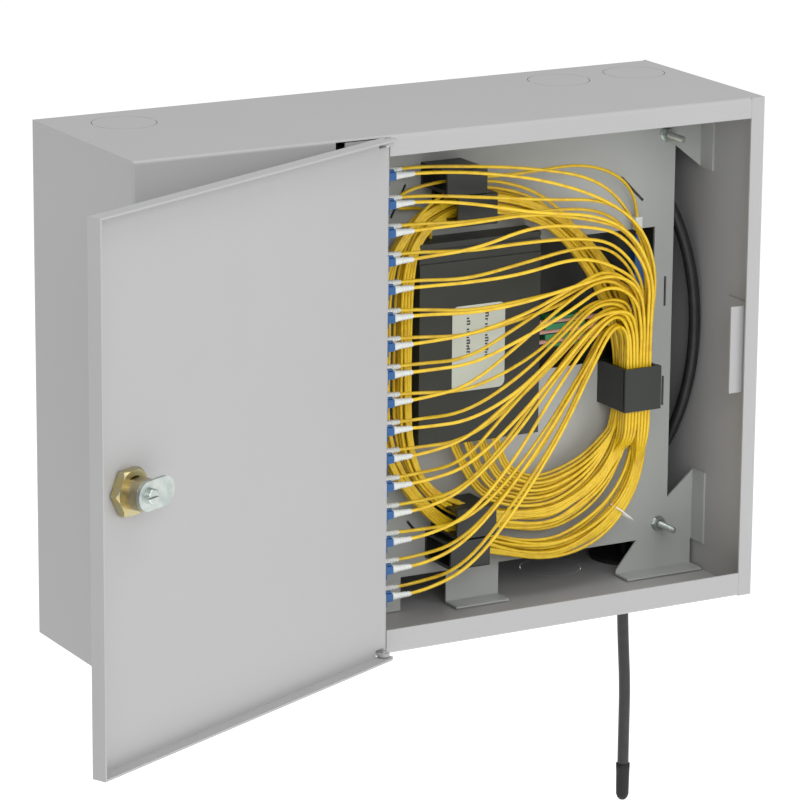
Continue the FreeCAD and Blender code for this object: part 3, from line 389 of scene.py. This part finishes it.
class Workshop:
    """Makes pieces, dresses them and puts them on their bodies."""

    def __init__(self) -> None:
        """Starts with no materials."""
        self.made: Dict[str, bpy.types.Material] = {}

    def material(self, finish: Finish) -> bpy.types.Material:
        """A finish's material, built once."""
        if finish.name not in self.made:
            self.made[finish.name] = finish.build()
        return self.made[finish.name]

    def dress_node(self, node: str, finish: Finish) -> None:
        """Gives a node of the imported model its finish.

        Args:
            node: The node's name.
            finish: What it is made of.
        """
        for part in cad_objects(node):
            for slot in part.material_slots:
                slot.material = self.material(finish)
            if not part.material_slots:
                part.data.materials.append(self.material(finish))

    def piece(self, name: str, shape: bmesh.types.BMesh, finish: Finish, slot: str, body: str = "root",
              stands_for: Sequence[str] = (), smooth: bool = False) -> bpy.types.Object:
        """Turns a bmesh into a piece.

        Args:
            name: The piece's name.
            shape: Its mesh, freed afterwards.
            finish: Its finish.
            slot: Not used.
            body: The body that it rides on.
            stands_for: Nodes that it replaces.
            smooth: Whether its faces are shaded smooth.

        Returns:
            The new object.
        """
        bmesh.ops.recalc_face_normals(shape, faces=shape.faces)
        for face in shape.faces:
            face.smooth = smooth
        mesh = bpy.data.meshes.new(name)
        shape.to_mesh(mesh)
        shape.free()
        mesh.materials.append(self.material(finish))
        return self._keep(bpy.data.objects.new(name, mesh), slot, body, stands_for)

    def cords(self, name: str, routes: Sequence[Sequence[Point]], diameter: float, finish: Finish, slot: str,
              closed: bool = False, stands_for: Sequence[str] = (), body: str = "root",
              sides: int = 2) -> bpy.types.Object:
        """Makes round cords on smooth NURBS lines.

        Args:
            name: The piece's name.
            routes: Control points of each cord.
            diameter: The cords' diameter.
            finish: Their jacket.
            slot: Not used.
            closed: Whether each line is a loop.
            stands_for: Nodes that the cords replace.
            body: The body that they ride on.
            sides: Bevel resolution of the round section.

        Returns:
            The new curve object.
        """
        curve = bpy.data.curves.new(name, "CURVE")
        curve.dimensions = "3D"
        curve.bevel_depth = diameter / 2
        curve.bevel_resolution = sides
        curve.use_fill_caps = True
        for route in routes:
            spline = curve.splines.new("NURBS")
            spline.points.add(len(route) - 1)
            for control, spot in zip(spline.points, route):
                control.co = (spot[0], spot[1], spot[2], 1.0)
            spline.order_u = 3
            spline.use_endpoint_u = not closed
            spline.use_cyclic_u = closed
            spline.resolution_u = 6
            spline.use_smooth = True
        curve.materials.append(self.material(finish))
        return self._keep(bpy.data.objects.new(name, curve), slot, body, stands_for)

    @staticmethod
    def _keep(item: bpy.types.Object, slot: str, body: str, stands_for: Sequence[str]) -> bpy.types.Object:
        """Links an object and ties it to its body and nodes."""
        bpy.context.scene.collection.objects.link(item)
        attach(item, body)
        if stands_for:
            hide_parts(*stands_for)
        LOG.info("made %s", item.name)
        return item


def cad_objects(node: str) -> List[bpy.types.Object]:
    """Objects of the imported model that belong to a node."""
    return [item for item in bpy.data.objects if item.type == "MESH" and item.name.split(".")[0] == node]


def in_metres(points: Sequence[Sequence[float]]) -> List[Point]:
    """A route in millimetres as points in metres."""
    return [(x * MM, y * MM, z * MM) for x, y, z in points]


def add_block(shape: bmesh.types.BMesh, low: Point, high: Point, bevel: float = 0.0) -> None:
    """Adds a block between two corners, with its edges rounded.

    Args:
        shape: The mesh to add to.
        low: Lowest corner.
        high: Highest corner.
        bevel: Width of the rounding.
    """
    centre = (Vector(low) + Vector(high)) / 2
    span = Vector(high) - Vector(low)
    size = Matrix.Diagonal((span.x, span.y, span.z, 1.0))
    made = bmesh.ops.create_cube(shape, size=1.0, matrix=Matrix.Translation(centre) @ size)
    corners = made["verts"]
    if bevel > 0:
        edges = list({edge for corner in corners for edge in corner.link_edges})
        bmesh.ops.bevel(shape, geom=edges, offset=bevel, offset_type="OFFSET", segments=2, profile=0.5,
                        affect="EDGES", material=-1)


def add_turned(shape: bmesh.types.BMesh, profile: Sequence[Tuple[float, float]], start: Point, axis: Axis,
               steps: int = 20) -> None:
    """Adds a turned solid.

    Args:
        shape: The mesh to add to.
        profile: Distance along the axis and radius of each point, from a pole to a pole.
        start: Where the axis starts.
        axis: Which way it points.
        steps: Number of faces round it.
    """
    way = Vector(axis.value)
    side = way.orthogonal().normalized()
    origin = Vector(start)
    points = [shape.verts.new(origin + way * along + side * radius) for along, radius in profile]
    edges = [shape.edges.new(pair) for pair in zip(points[:-1], points[1:])]
    bmesh.ops.spin(shape, geom=points + edges, cent=origin, axis=way, angle=math.tau, steps=steps,
                   use_merge=True)
    bmesh.ops.remove_doubles(shape, verts=list(shape.verts), dist=WELD)


# ---- camera and light -----------------------------------------------------------------------------
@dataclass
class Studio:
    """Camera, soft light and floor."""

    position: Point = (-1.1967, -2.2056, 0.6319)
    yaw: float = 0.509
    pitch: float = 0.257
    roll: float = 0.008
    lens: float = 197.9
    shift: Tuple[float, float] = (0.0016, -0.0189)
    floor_drop: float = 0.45
    surround: float = 0.53

    def camera(self) -> None:
        """Adds the camera."""
        data = bpy.data.cameras.new("camera")
        data.lens = self.lens
        data.sensor_width = 36.0
        data.shift_x, data.shift_y = self.shift
        data.clip_end = 50.0
        item = bpy.data.objects.new("camera", data)
        turn = Matrix.Rotation(-self.yaw, 4, "Z") @ Matrix.Rotation(math.pi / 2 - self.pitch, 4, "X")
        item.matrix_world = Matrix.Translation(self.position) @ turn @ Matrix.Rotation(self.roll, 4, "Z")
        bpy.context.scene.collection.objects.link(item)
        bpy.context.scene.camera = item

    def lamp(self, name: str, spot: Point, aim: Point, size: float, power: float) -> None:
        """Adds a square soft light.

        Args:
            name: The light's name.
            spot: Where it stands.
            aim: Where it points.
            size: Its side.
            power: Its power in watts.
        """
        data = bpy.data.lights.new(name, "AREA")
        data.size = size
        data.energy = power
        item = bpy.data.objects.new(name, data)
        item.location = spot
        item.rotation_euler = (Vector(aim) - Vector(spot)).to_track_quat("-Z", "Y").to_euler()
        bpy.context.scene.collection.objects.link(item)

    def build(self, workshop: Workshop, low: float) -> None:
        """Adds the floor, the lights and the surrounding white.

        Args:
            workshop: Makes the floor's finish.
            low: Height of the object's lowest point.
        """
        shape = bmesh.new()
        bmesh.ops.create_grid(shape, x_segments=1, y_segments=1, size=12.0,
                              matrix=Matrix.Translation((0, 0, low - self.floor_drop)))
        mesh = bpy.data.meshes.new("studio_floor")
        shape.to_mesh(mesh)
        shape.free()
        mesh.materials.append(workshop.material(STUDIO_FLOOR))
        floor = bpy.data.objects.new("studio_floor", mesh)
        bpy.context.scene.collection.objects.link(floor)
        floor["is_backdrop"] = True
        self.lamp("front_light", (-0.8, -2.7, 1.3), (0.0, 0.0, 0.0), 1.4, 29.0)
        self.lamp("right_light", (1.5, -2.2, 0.7), (0.0, 0.0, 0.0), 1.4, 12.0)
        self.lamp("top_light", (0.1, -0.5, 2.2), (0.0, -0.05, 0.0), 1.8, 27.0)
        world = bpy.data.worlds.new("studio_white")
        world.use_nodes = True
        back = world.node_tree.nodes["Background"]
        back.inputs["Color"].default_value = (1.0, 1.0, 1.0, 1.0)
        back.inputs["Strength"].default_value = self.surround
        bpy.context.scene.world = world
        bpy.context.scene.view_settings.view_transform = "Standard"


# ---- feed cable -----------------------------------------------------------------------------------
@dataclass
class FeedCable:
    """Black feed cable: the spare loop inside and the tail that hangs from the grommet."""

    diameter: float = 7 * MM
    loop: Sequence[Sequence[float]] = (
        (174, -32, -158), (174, -32, -136), (179, -36, -112), (187.5, -47, -84), (194, -61, -54),
        (196.4, -70, -18), (196, -71, 20), (190.5, -66, 56), (178, -57, 88), (155, -50, 110),
        (124, -45, 121), (90, -42, 120), (56, -40, 108), (28, -38, 82), (9, -35, 46), (5, -33, 8),
        (14, -32, -24), (36, -32, -50), (66, -34, -64), (96, -40, -62), (118, -49, -48),
        (127, -56.5, -32), (127, -57.5, -18.8))
    tail: Sequence[Sequence[float]] = (
        (174, -32, -158), (174, -32, -178), (174.9, -32.5, -204), (176.6, -32.8, -232),
        (176.8, -32.2, -262), (176.8, -32.2, -283))
    cap_profile: Sequence[Tuple[float, float]] = ((0.0, 0.0), (0.0, 4.3), (3.0, 4.25), (6.0, 4.1),
                                                  (15.0, 4.0), (20.0, 3.9), (22.0, 3.2), (23.4, 1.9),
                                                  (24.0, 0.0))

    def build(self, workshop: Workshop) -> None:
        """Makes the loop, the tail and the shrunk end cap."""
        workshop.cords("feed_loop", [in_metres(self.loop)], self.diameter, BLACK_JACKET, "cable_jacket",
                       stands_for=("feed_cable_loop",), sides=5)
        tail = workshop.cords("feed_tail", [in_metres(self.tail)], self.diameter, BLACK_JACKET,
                              "cable_jacket", stands_for=("feed_cable_tail",), sides=5)
        shape = bmesh.new()
        end = in_metres(self.tail)[-1]
        profile = [(along * MM, radius * MM) for along, radius in self.cap_profile]
        add_turned(shape, profile, end, Axis.DOWN, 28)
        cap = workshop.piece("feed_end_cap", shape, RUBBER, "grommet_rubber",
                             stands_for=("cable_end_cap",), smooth=True)


# ---- pigtails -------------------------------------------------------------------------------------
@dataclass
class Pigtails:
    """Yellow pigtails: coil, outlets of the splitter and the fan to the ports."""

    diameter: float = 2 * MM
    rows: int = 16
    plates: int = 4
    ceiling: float = 124.0
    run_depth: Tuple[float, float] = (-83.6, 1.6)
    boot_radius: float = 2.3 * MM
    outlet_count: int = 12
    tie_centre: Point = (141 * MM, -81 * MM, -104 * MM)
    tie_way: Point = (0.78, 0.0, -0.62)
    tie_radii: Tuple[float, float] = (9.5 * MM, 5.4 * MM)
    tie_points: int = 12
    tie_width: float = 1.1 * MM
    coil_front: float = -83.9
    coil_back: float = -78.1
    coil_turns: int = 27
    stray_turns: int = 3
    stray_lift: Dict[int, float] = field(default_factory=lambda: {3: 4.0, 4: 9.0, 5: 12.0, 6: 10.0, 7: 4.0})
    coil_outer: Sequence[Tuple[float, float]] = (
        (-27, -44), (-27, 8), (-26, 56), (-6, 88), (20, 99), (46, 100), (84, 89), (116, 64), (138, 34),
        (148, 2), (149, -28), (158, -62), (152, -96), (126, -120), (90, -129), (48, -115), (8, -92))
    coil_inner: Sequence[Tuple[float, float]] = (
        (-4.5, -50), (-4.5, 8), (-4, 60), (2, 79), (20, 89), (46, 90), (84, 79), (108, 54), (126, 26),
        (135, 2), (136, -28), (136, -60), (120, -80), (106, -89), (88, -97), (50, -91), (12, -76))
    columns: float = 134.8
    column_pitch: float = 2.2
    layer_start: Sequence[float] = (-94.2, -91.6, -89.0, -86.4)
    layer_mid: Sequence[float] = (-121.4, -118.4, -115.4, -112.4)
    forward: Sequence[float] = (0.0, 0.06, 0.33, 0.55, 0.86, 1.0, 1.0)
    fan_low: Sequence[Tuple[float, float]] = ((134.8, -6), (133, 10), (118, 16), (99, -12), (74, -48),
                                              (44, -84), (13, -112), (-9, -122.6))
    fan_mid: Sequence[Tuple[float, float]] = ((142.5, -6), (142, 12), (133, 34), (106, 44), (76, 32),
                                              (44, 16), (13, 3), (-9, 0))
    fan_high: Sequence[Tuple[float, float]] = ((150.2, -6), (151, 16), (149, 48), (132, 80), (104, 103),
                                               (60, 116), (17, 122), (-9, 122.6))
    looseness: Sequence[float] = (0.0, 1.0, 4.0, 8.0, 11.0, 9.0, 3.0)
    run_inner: Sequence[Tuple[float, float]] = ((30, -89), (56, -92), (86, -95), (110, -88), (127, -74),
                                                (134, -64))
    run_outer: Sequence[Tuple[float, float]] = ((26, -107), (52, -114), (88, -124), (122, -114),
                                                (145, -92), (149, -72))
    input_route: Sequence[Sequence[float]] = (
        (154, -71.5, 62), (154, -71.5, 76), (145, -76, 93), (127, -80, 105), (103, -84, 111),
        (78, -86.4, 110.4), (56, -87, 109.8), (34, -87, 110.4), (12, -86.6, 110.2), (-5, -83, 107),
        (-13, -78, 101), (-8, -73, 93.5), (2, -72, 93), (10, -72, 91.5), (14, -72, 84), (14, -72, 74))
    tag_corners: Sequence[Sequence[float]] = ((151.5, -73.1, 64.5), (156.5, -69.9, 72.5))

    def coil_route(self, share: float, depth: float, stray: bool, wander: random.Random) -> List[Point]:
        """One turn of the coil.

        Args:
            share: Place between the coil's inner and outer edge, 0 to 1.
            depth: Place between its back and its front, 0 to 1.
            stray: Whether the turn goes over the upper of the top clips' posts.
            wander: Source of the turn's looseness.

        Returns:
            The turn's control points.
        """
        route = []
        drift = 0.0
        for i, (outer, inner) in enumerate(zip(self.coil_outer, self.coil_inner)):
            drift = 0.6 * drift + wander.uniform(-0.07, 0.07)
            place = min(1.0, max(0.0, share + drift))
            x = inner[0] + (outer[0] - inner[0]) * place
            z = inner[1] + (outer[1] - inner[1]) * place
            if stray:
                z += self.stray_lift.get(i, 0.0)
            lift = min(1.0, max(0.0, depth + wander.uniform(-0.12, 0.12)))
            y = self.coil_back + (self.coil_front - self.coil_back) * lift
            route.append((x * MM, y * MM, z * MM))
        return route

    def coil(self, workshop: Workshop) -> None:
        """Makes the coil of spare pigtail, in an inner and an outer bundle."""
        wander = random.Random(7)
        turns = []
        for i in range(self.coil_turns):
            within = (i * 0.618) % 1.0
            share = 0.4 * within if i % 5 < 2 else 0.62 + 0.38 * within
            turns.append(self.coil_route(share, (i % 3) / 2, i < self.stray_turns, wander))
        workshop.cords("pigtail_coil", turns, self.diameter, YELLOW_JACKET, "cord_jacket", closed=True,
                       stands_for=("pigtail_ring",))

    def run_up(self, row: int, layer: int) -> List[Point]:
        """Control points of a pigtail from the bottom clips to the right clip.

        Args:
            row: Row of its port.
            layer: Its layer in the clip, from the front.

        Returns:
            The control points, in millimetres.
        """
        half = self.rows // 2
        outer = row >= half
        spread = (row - half if outer else row) / (half - 1)
        base = self.run_outer if outer else self.run_inner
        nearest, step = self.run_depth
        depth = nearest + step * layer
        reach = 3.0 if outer else 6.0
        points = []
        for i, (x, z) in enumerate(base):
            turned = i / (len(base) - 1)
            points.append((x + reach * spread * turned, depth, z - reach * spread * (1 - turned)))
        return points

    def fan_route(self, row: int, column: int, ports: Tuple[float, float, float, float],
                  wander: random.Random) -> List[Point]:
        """Control points of one pigtail, from the coil to its boot.

        Args:
            row: Row of the port, from the bottom.
            column: 0 for the near column of ports, 1 for the far one.
            ports: X of the boots' ends, Y of the port, Z of the lowest and of the highest port.
            wander: Source of its looseness.

        Returns:
            The control points.
        """
        boot_x, port_y, lowest, highest = ports
        layer = 2 * column + row % 2
        share = row / (self.rows - 1)
        port_z = lowest + (highest - lowest) * share
        start_x = self.columns + (row // 2) * self.column_pitch
        start_y = self.layer_start[layer]
        points = self.run_up(row, layer)
        points += [(start_x, start_y + 1.0, -56), (start_x, start_y, -38), (start_x, start_y, -22)]
        sway = wander.uniform(-1.0, 1.0)
        drop = wander.uniform(-1.0, 1.0)
        pairs = list(zip(self.fan_low, self.fan_mid, self.fan_high))
        for i, (low, mid, high) in enumerate(pairs[:-1]):
            first, second, part = (low, mid, 2 * share) if share < 0.5 else (mid, high, 2 * share - 1)
            loose = self.looseness[i]
            x = start_x if i == 0 else first[0] + (second[0] - first[0]) * part
            z = first[1] + (second[1] - first[1]) * part
            x += loose * (0.6 * sway + wander.uniform(-0.3, 0.3))
            z += loose * (drop + wander.uniform(-0.3, 0.3))
            y = start_y + (self.layer_mid[layer] - start_y) * self.forward[i] + 0.15 * loose * sway
            points.append((x, y, min(z, self.ceiling)))
        points.append((self.fan_low[-1][0], port_y / MM, port_z / MM + 0.6 * drop))
        points.append((boot_x / MM - 1.5, port_y / MM, port_z / MM))
        return in_metres(points)

    def fan(self, workshop: Workshop) -> None:
        """Makes the pigtails of each adapter plate."""
        low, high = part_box("connector_boots")
        radius = self.boot_radius
        columns = (low[1] + radius, high[1] - radius)
        wander = random.Random(23)
        on_plate = self.rows // self.plates
        for plate in range(self.plates):
            routes = []
            for row in range(plate * on_plate, (plate + 1) * on_plate):
                for column, y in enumerate(columns):
                    ports = (high[0], y, low[2] + radius, high[2] - radius)
                    routes.append(self.fan_route(row, column, ports, wander))
            stands_for = [f"pigtails_{plate + 1}"] + (["pigtail_rise"] if plate == 0 else [])
            workshop.cords(f"pigtail_fan_{plate + 1}", routes, self.diameter, YELLOW_JACKET, "cord_jacket",
                           stands_for=stands_for)

    def outlets(self, workshop: Workshop) -> None:
        """Makes the pigtails between the splitter and the coil, and its input pigtail."""
        routes = []
        for i in range(self.outlet_count):
            across = i / (self.outlet_count - 1)
            layer = -84 + (i % 3) * 2.6
            routes.append([(22 + 34 * across, layer, -46), (27 + 33 * across, layer, -58 - 2 * across),
                           (44 + 24 * across, layer, -84 + 14 * across), (84, layer, -93 + 17 * across),
                           (110, layer, -83 + 14 * across), (126, layer, -66 + 8 * across),
                           (134.6 + 2.5 * across, layer, -46), (136 + 3 * across, layer, -24)])
        workshop.cords("splitter_outlets", [in_metres(r) for r in routes], self.diameter, YELLOW_JACKET,
                       "cord_jacket", stands_for=("pigtail_outlets",))
        workshop.cords("splitter_input", [in_metres(self.input_route)], self.diameter, YELLOW_JACKET,
                       "cord_jacket", stands_for=("input_pigtail",))

    def tie(self, workshop: Workshop) -> None:
        """Makes the soft tie round the coil at its lower right."""
        centre = Vector(self.tie_centre)
        way = Vector(self.tie_way).normalized()
        across, deep = self.tie_radii
        spots = []
        for i in range(self.tie_points):
            angle = math.tau * i / self.tie_points
            spots.append(tuple(centre + way * (across * math.cos(angle))
                               + Vector((0, 1, 0)) * (deep * math.sin(angle))))
        workshop.cords("coil_tie", [spots], self.tie_width, TIE_FILM, "label_stock", closed=True)

    def tag(self, workshop: Workshop) -> None:
        """Makes the small marker tag on the input pigtail."""
        shape = bmesh.new()
        add_block(shape, *in_metres(self.tag_corners), 0.4 * MM)
        workshop.piece("pigtail_tag", shape, TAG_FILM, "label_stock")

    def build(self, workshop: Workshop) -> None:
        """Makes every pigtail."""
        self.coil(workshop)
        self.fan(workshop)
        self.outlets(workshop)
        self.tie(workshop)
        self.tag(workshop)


# ---- connectors -----------------------------------------------------------------------------------
@dataclass
class Connectors:
    """Plugs and boots at the ports."""

    rows: int = 16
    plug_side: float = 4.6 * MM
    latch: Tuple[float, float, float] = (5.6 * MM, 2.0 * MM, 1.3 * MM)
    boot_length: float = 12.5 * MM
    boot_radius: float = 2.3 * MM
    ribs: int = 5

    def ports(self) -> List[Tuple[float, float]]:
        """Y and Z of every port."""
        low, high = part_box("connector_boots")
        bottom = low[2] + self.boot_radius
        step = (high[2] - low[2] - 2 * self.boot_radius) / (self.rows - 1)
        columns = (low[1] + self.boot_radius, high[1] - self.boot_radius)
        return [(y, bottom + step * row) for row in range(self.rows) for y in columns]

    def boot_profile(self) -> List[Tuple[float, float]]:
        """Outline of a boot: a collar, then ribs that get smaller."""
        profile = [(0.0, 0.0), (0.0, 2.2 * MM), (0.3 * MM, 2.3 * MM), (2.4 * MM, 2.3 * MM),
                   (2.7 * MM, 1.9 * MM)]
        for i in range(self.ribs):
            along = (3.3 + 1.8 * i) * MM
            crest = (2.05 - 0.12 * i) * MM
            profile += [(along, crest), (along + 0.9 * MM, crest), (along + 1.1 * MM, crest - 0.4 * MM),
                        (along + 1.6 * MM, crest - 0.4 * MM)]
        profile += [(self.boot_length - 0.2 * MM, 1.45 * MM), (self.boot_length, 1.2 * MM),
                    (self.boot_length, 0.0)]
        return profile

    def build(self, workshop: Workshop) -> None:
        """Makes the plugs and the boots."""
        plugs = bmesh.new()
        boots = bmesh.new()
        low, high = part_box("connector_bodies")
        half = self.plug_side / 2
        length, width, height = self.latch
        for y, z in self.ports():
            add_block(plugs, (low[0], y - half, z - half), (high[0], y + half, z + half), 0.35 * MM)
            top = (high[0] - length, y - width / 2, z + half)
            add_block(plugs, top, (high[0] - 0.6 * MM, y + width / 2, z + half + height), 0.3 * MM)
        for y, z in self.ports():
            boot = bmesh.new()
            add_turned(boot, self.boot_profile(), (high[0], y, z), Axis.RIGHT, 12)
            mesh = bpy.data.meshes.new("boot")
            boot.to_mesh(mesh)
            boot.free()
            boots.from_mesh(mesh)
            bpy.data.meshes.remove(mesh)
        workshop.piece("port_plugs", plugs, BLUE_PLASTIC, "plug_plastic", stands_for=("connector_bodies",))
        workshop.piece("port_boots", boots, WHITE_BOOT, "boot_plastic", stands_for=("connector_boots",),
                       smooth=True)


# ---- hardware -------------------------------------------------------------------------------------
@dataclass
class Hardware:
    """Threaded studs of the chassis."""

    pitch: float = 0.8 * MM
    depth: float = 0.35 * MM
    radius: float = 2.0 * MM

    def thread_profile(self, length: float) -> List[Tuple[float, float]]:
        """Outline of a threaded stud."""
        profile = [(0.0, 0.0), (0.0, self.radius)]
        turns = int((length - 1.0 * MM) / self.pitch)
        start = length - turns * self.pitch - 0.6 * MM
        for i in range(turns):
            along = start + i * self.pitch
            profile += [(along, self.radius), (along + self.pitch / 2, self.radius - self.depth)]
        profile += [(length - 0.4 * MM, self.radius - self.depth), (length, self.radius - 2 * self.depth),
                    (length, 0.0)]
        return profile

    def build(self, workshop: Workshop) -> None:
        """Makes the studs."""
        low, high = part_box("mounting_studs")
        studs = bmesh.new()
        for x in (low[0] + self.radius, high[0] - self.radius):
            for z in (low[2] + self.radius, high[2] - self.radius):
                stud = bmesh.new()
                add_turned(stud, self.thread_profile(high[1] - low[1]), (x, high[1], z), Axis.FORWARD, 20)
                mesh = bpy.data.meshes.new("stud")
                stud.to_mesh(mesh)
                stud.free()
                studs.from_mesh(mesh)
                bpy.data.meshes.remove(mesh)
        workshop.piece("threaded_studs", studs, CLEAR_ZINC, "plated_steel", stands_for=("mounting_studs",))


# ---- splitter label -------------------------------------------------------------------------------
@dataclass
class Label:
    """Print on the splitter's label."""

    glyph: Tuple[float, float] = (1.0 * MM, 2.3 * MM)
    gap: float = 0.7 * MM
    link: float = 0.45 * MM
    ink: float = 0.03 * MM
    lines: Sequence[Tuple[float, float, Sequence[int]]] = ((0.62, 0.93, (4, 3, 8)), (0.27, 0.86, (3, 2, 7)))

    def build(self, workshop: Workshop) -> None:
        """Makes the printed marks: rows of plain strokes that run down the label."""
        low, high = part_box("splitter_label")
        marks = bmesh.new()
        stroke, height = self.glyph
        for across, start, words in self.lines:
            x = low[0] + (high[0] - low[0]) * across
            z = low[2] + (high[2] - low[2]) * start
            for word in words:
                for i in range(word):
                    part = height * (1.0 if i % 3 else 0.72)
                    add_block(marks, (x, low[1] - self.ink, z - stroke), (x + part, low[1] + self.ink, z))
                    if i % 2:
                        edge = x + part - self.link
                        add_block(marks, (edge, low[1] - self.ink, z - stroke - self.gap),
                                  (edge + self.link, low[1] + self.ink, z - stroke))
                    z -= stroke + self.gap
                z -= 2 * self.gap
        workshop.piece("label_marks", marks, LABEL_INK, "label_stock")


# ---- everything -----------------------------------------------------------------------------------
@dataclass
class Wardrobe:
    """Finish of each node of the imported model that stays."""

    plan: Dict[Finish, Sequence[str]] = field(default_factory=lambda: {
        CASE_PAINT: ("case_wrap", "right_end", "hinge_post", "knockout_discs", "door_panel",
                     "adapter_plate_1", "adapter_plate_2", "adapter_plate_3", "adapter_plate_4",
                     "strike_bracket"),
        CHASSIS_PAINT: ("chassis_plate", "cable_saddles"),
        CLEAR_ZINC: ("hinge_pins", "stud_washers", "stud_nuts", "lock_cam", "cam_screw", "lock_plug"),
        YELLOW_ZINC: ("lock_nut", "lock_washer"),
        DARK_BRASS: ("lock_barrel",),
        DEEP_BLUE: ("adapters_1", "adapters_2", "adapters_3", "adapters_4", "input_adapter"),
        BLUE_PLASTIC: ("input_connector",),
        PALE_CAP: ("dust_caps",),
        BLACK_ABS: ("splitter_case", "splitter_cover"),
        LABEL_FILM: ("splitter_label",),
        TRAY_PLASTIC: ("splice_tray",),
        GREEN_PLASTIC: ("splice_holder",),
        SLEEVE_FILM: ("splice_sleeves",),
        RUBBER: ("cable_grommet",)})

    def build(self, workshop: Workshop, nodes: Sequence[str]) -> None:
        """Dresses the nodes.

        Args:
            workshop: Makes the finishes.
            nodes: Every node's name.
        """
        for finish, names in self.plan.items():
            for name in names:
                workshop.dress_node(name, finish)
        for name in nodes:
            if name.startswith("clip_"):
                workshop.dress_node(name, BLACK_NYLON)


def main() -> None:
    """Builds the scene."""
    logging.basicConfig(level=logging.INFO, format="%(message)s")
    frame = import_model()
    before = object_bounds()
    workshop = Workshop()
    studio = Studio()
    studio.camera()
    FeedCable().build(workshop)
    Pigtails().build(workshop)
    Connectors().build(workshop)
    Hardware().build(workshop)
    Label().build(workshop)
    Wardrobe().build(workshop, list(frame["nodes"]))
    studio.build(workshop, before[0][2])


if __name__ == "__main__":
    main()
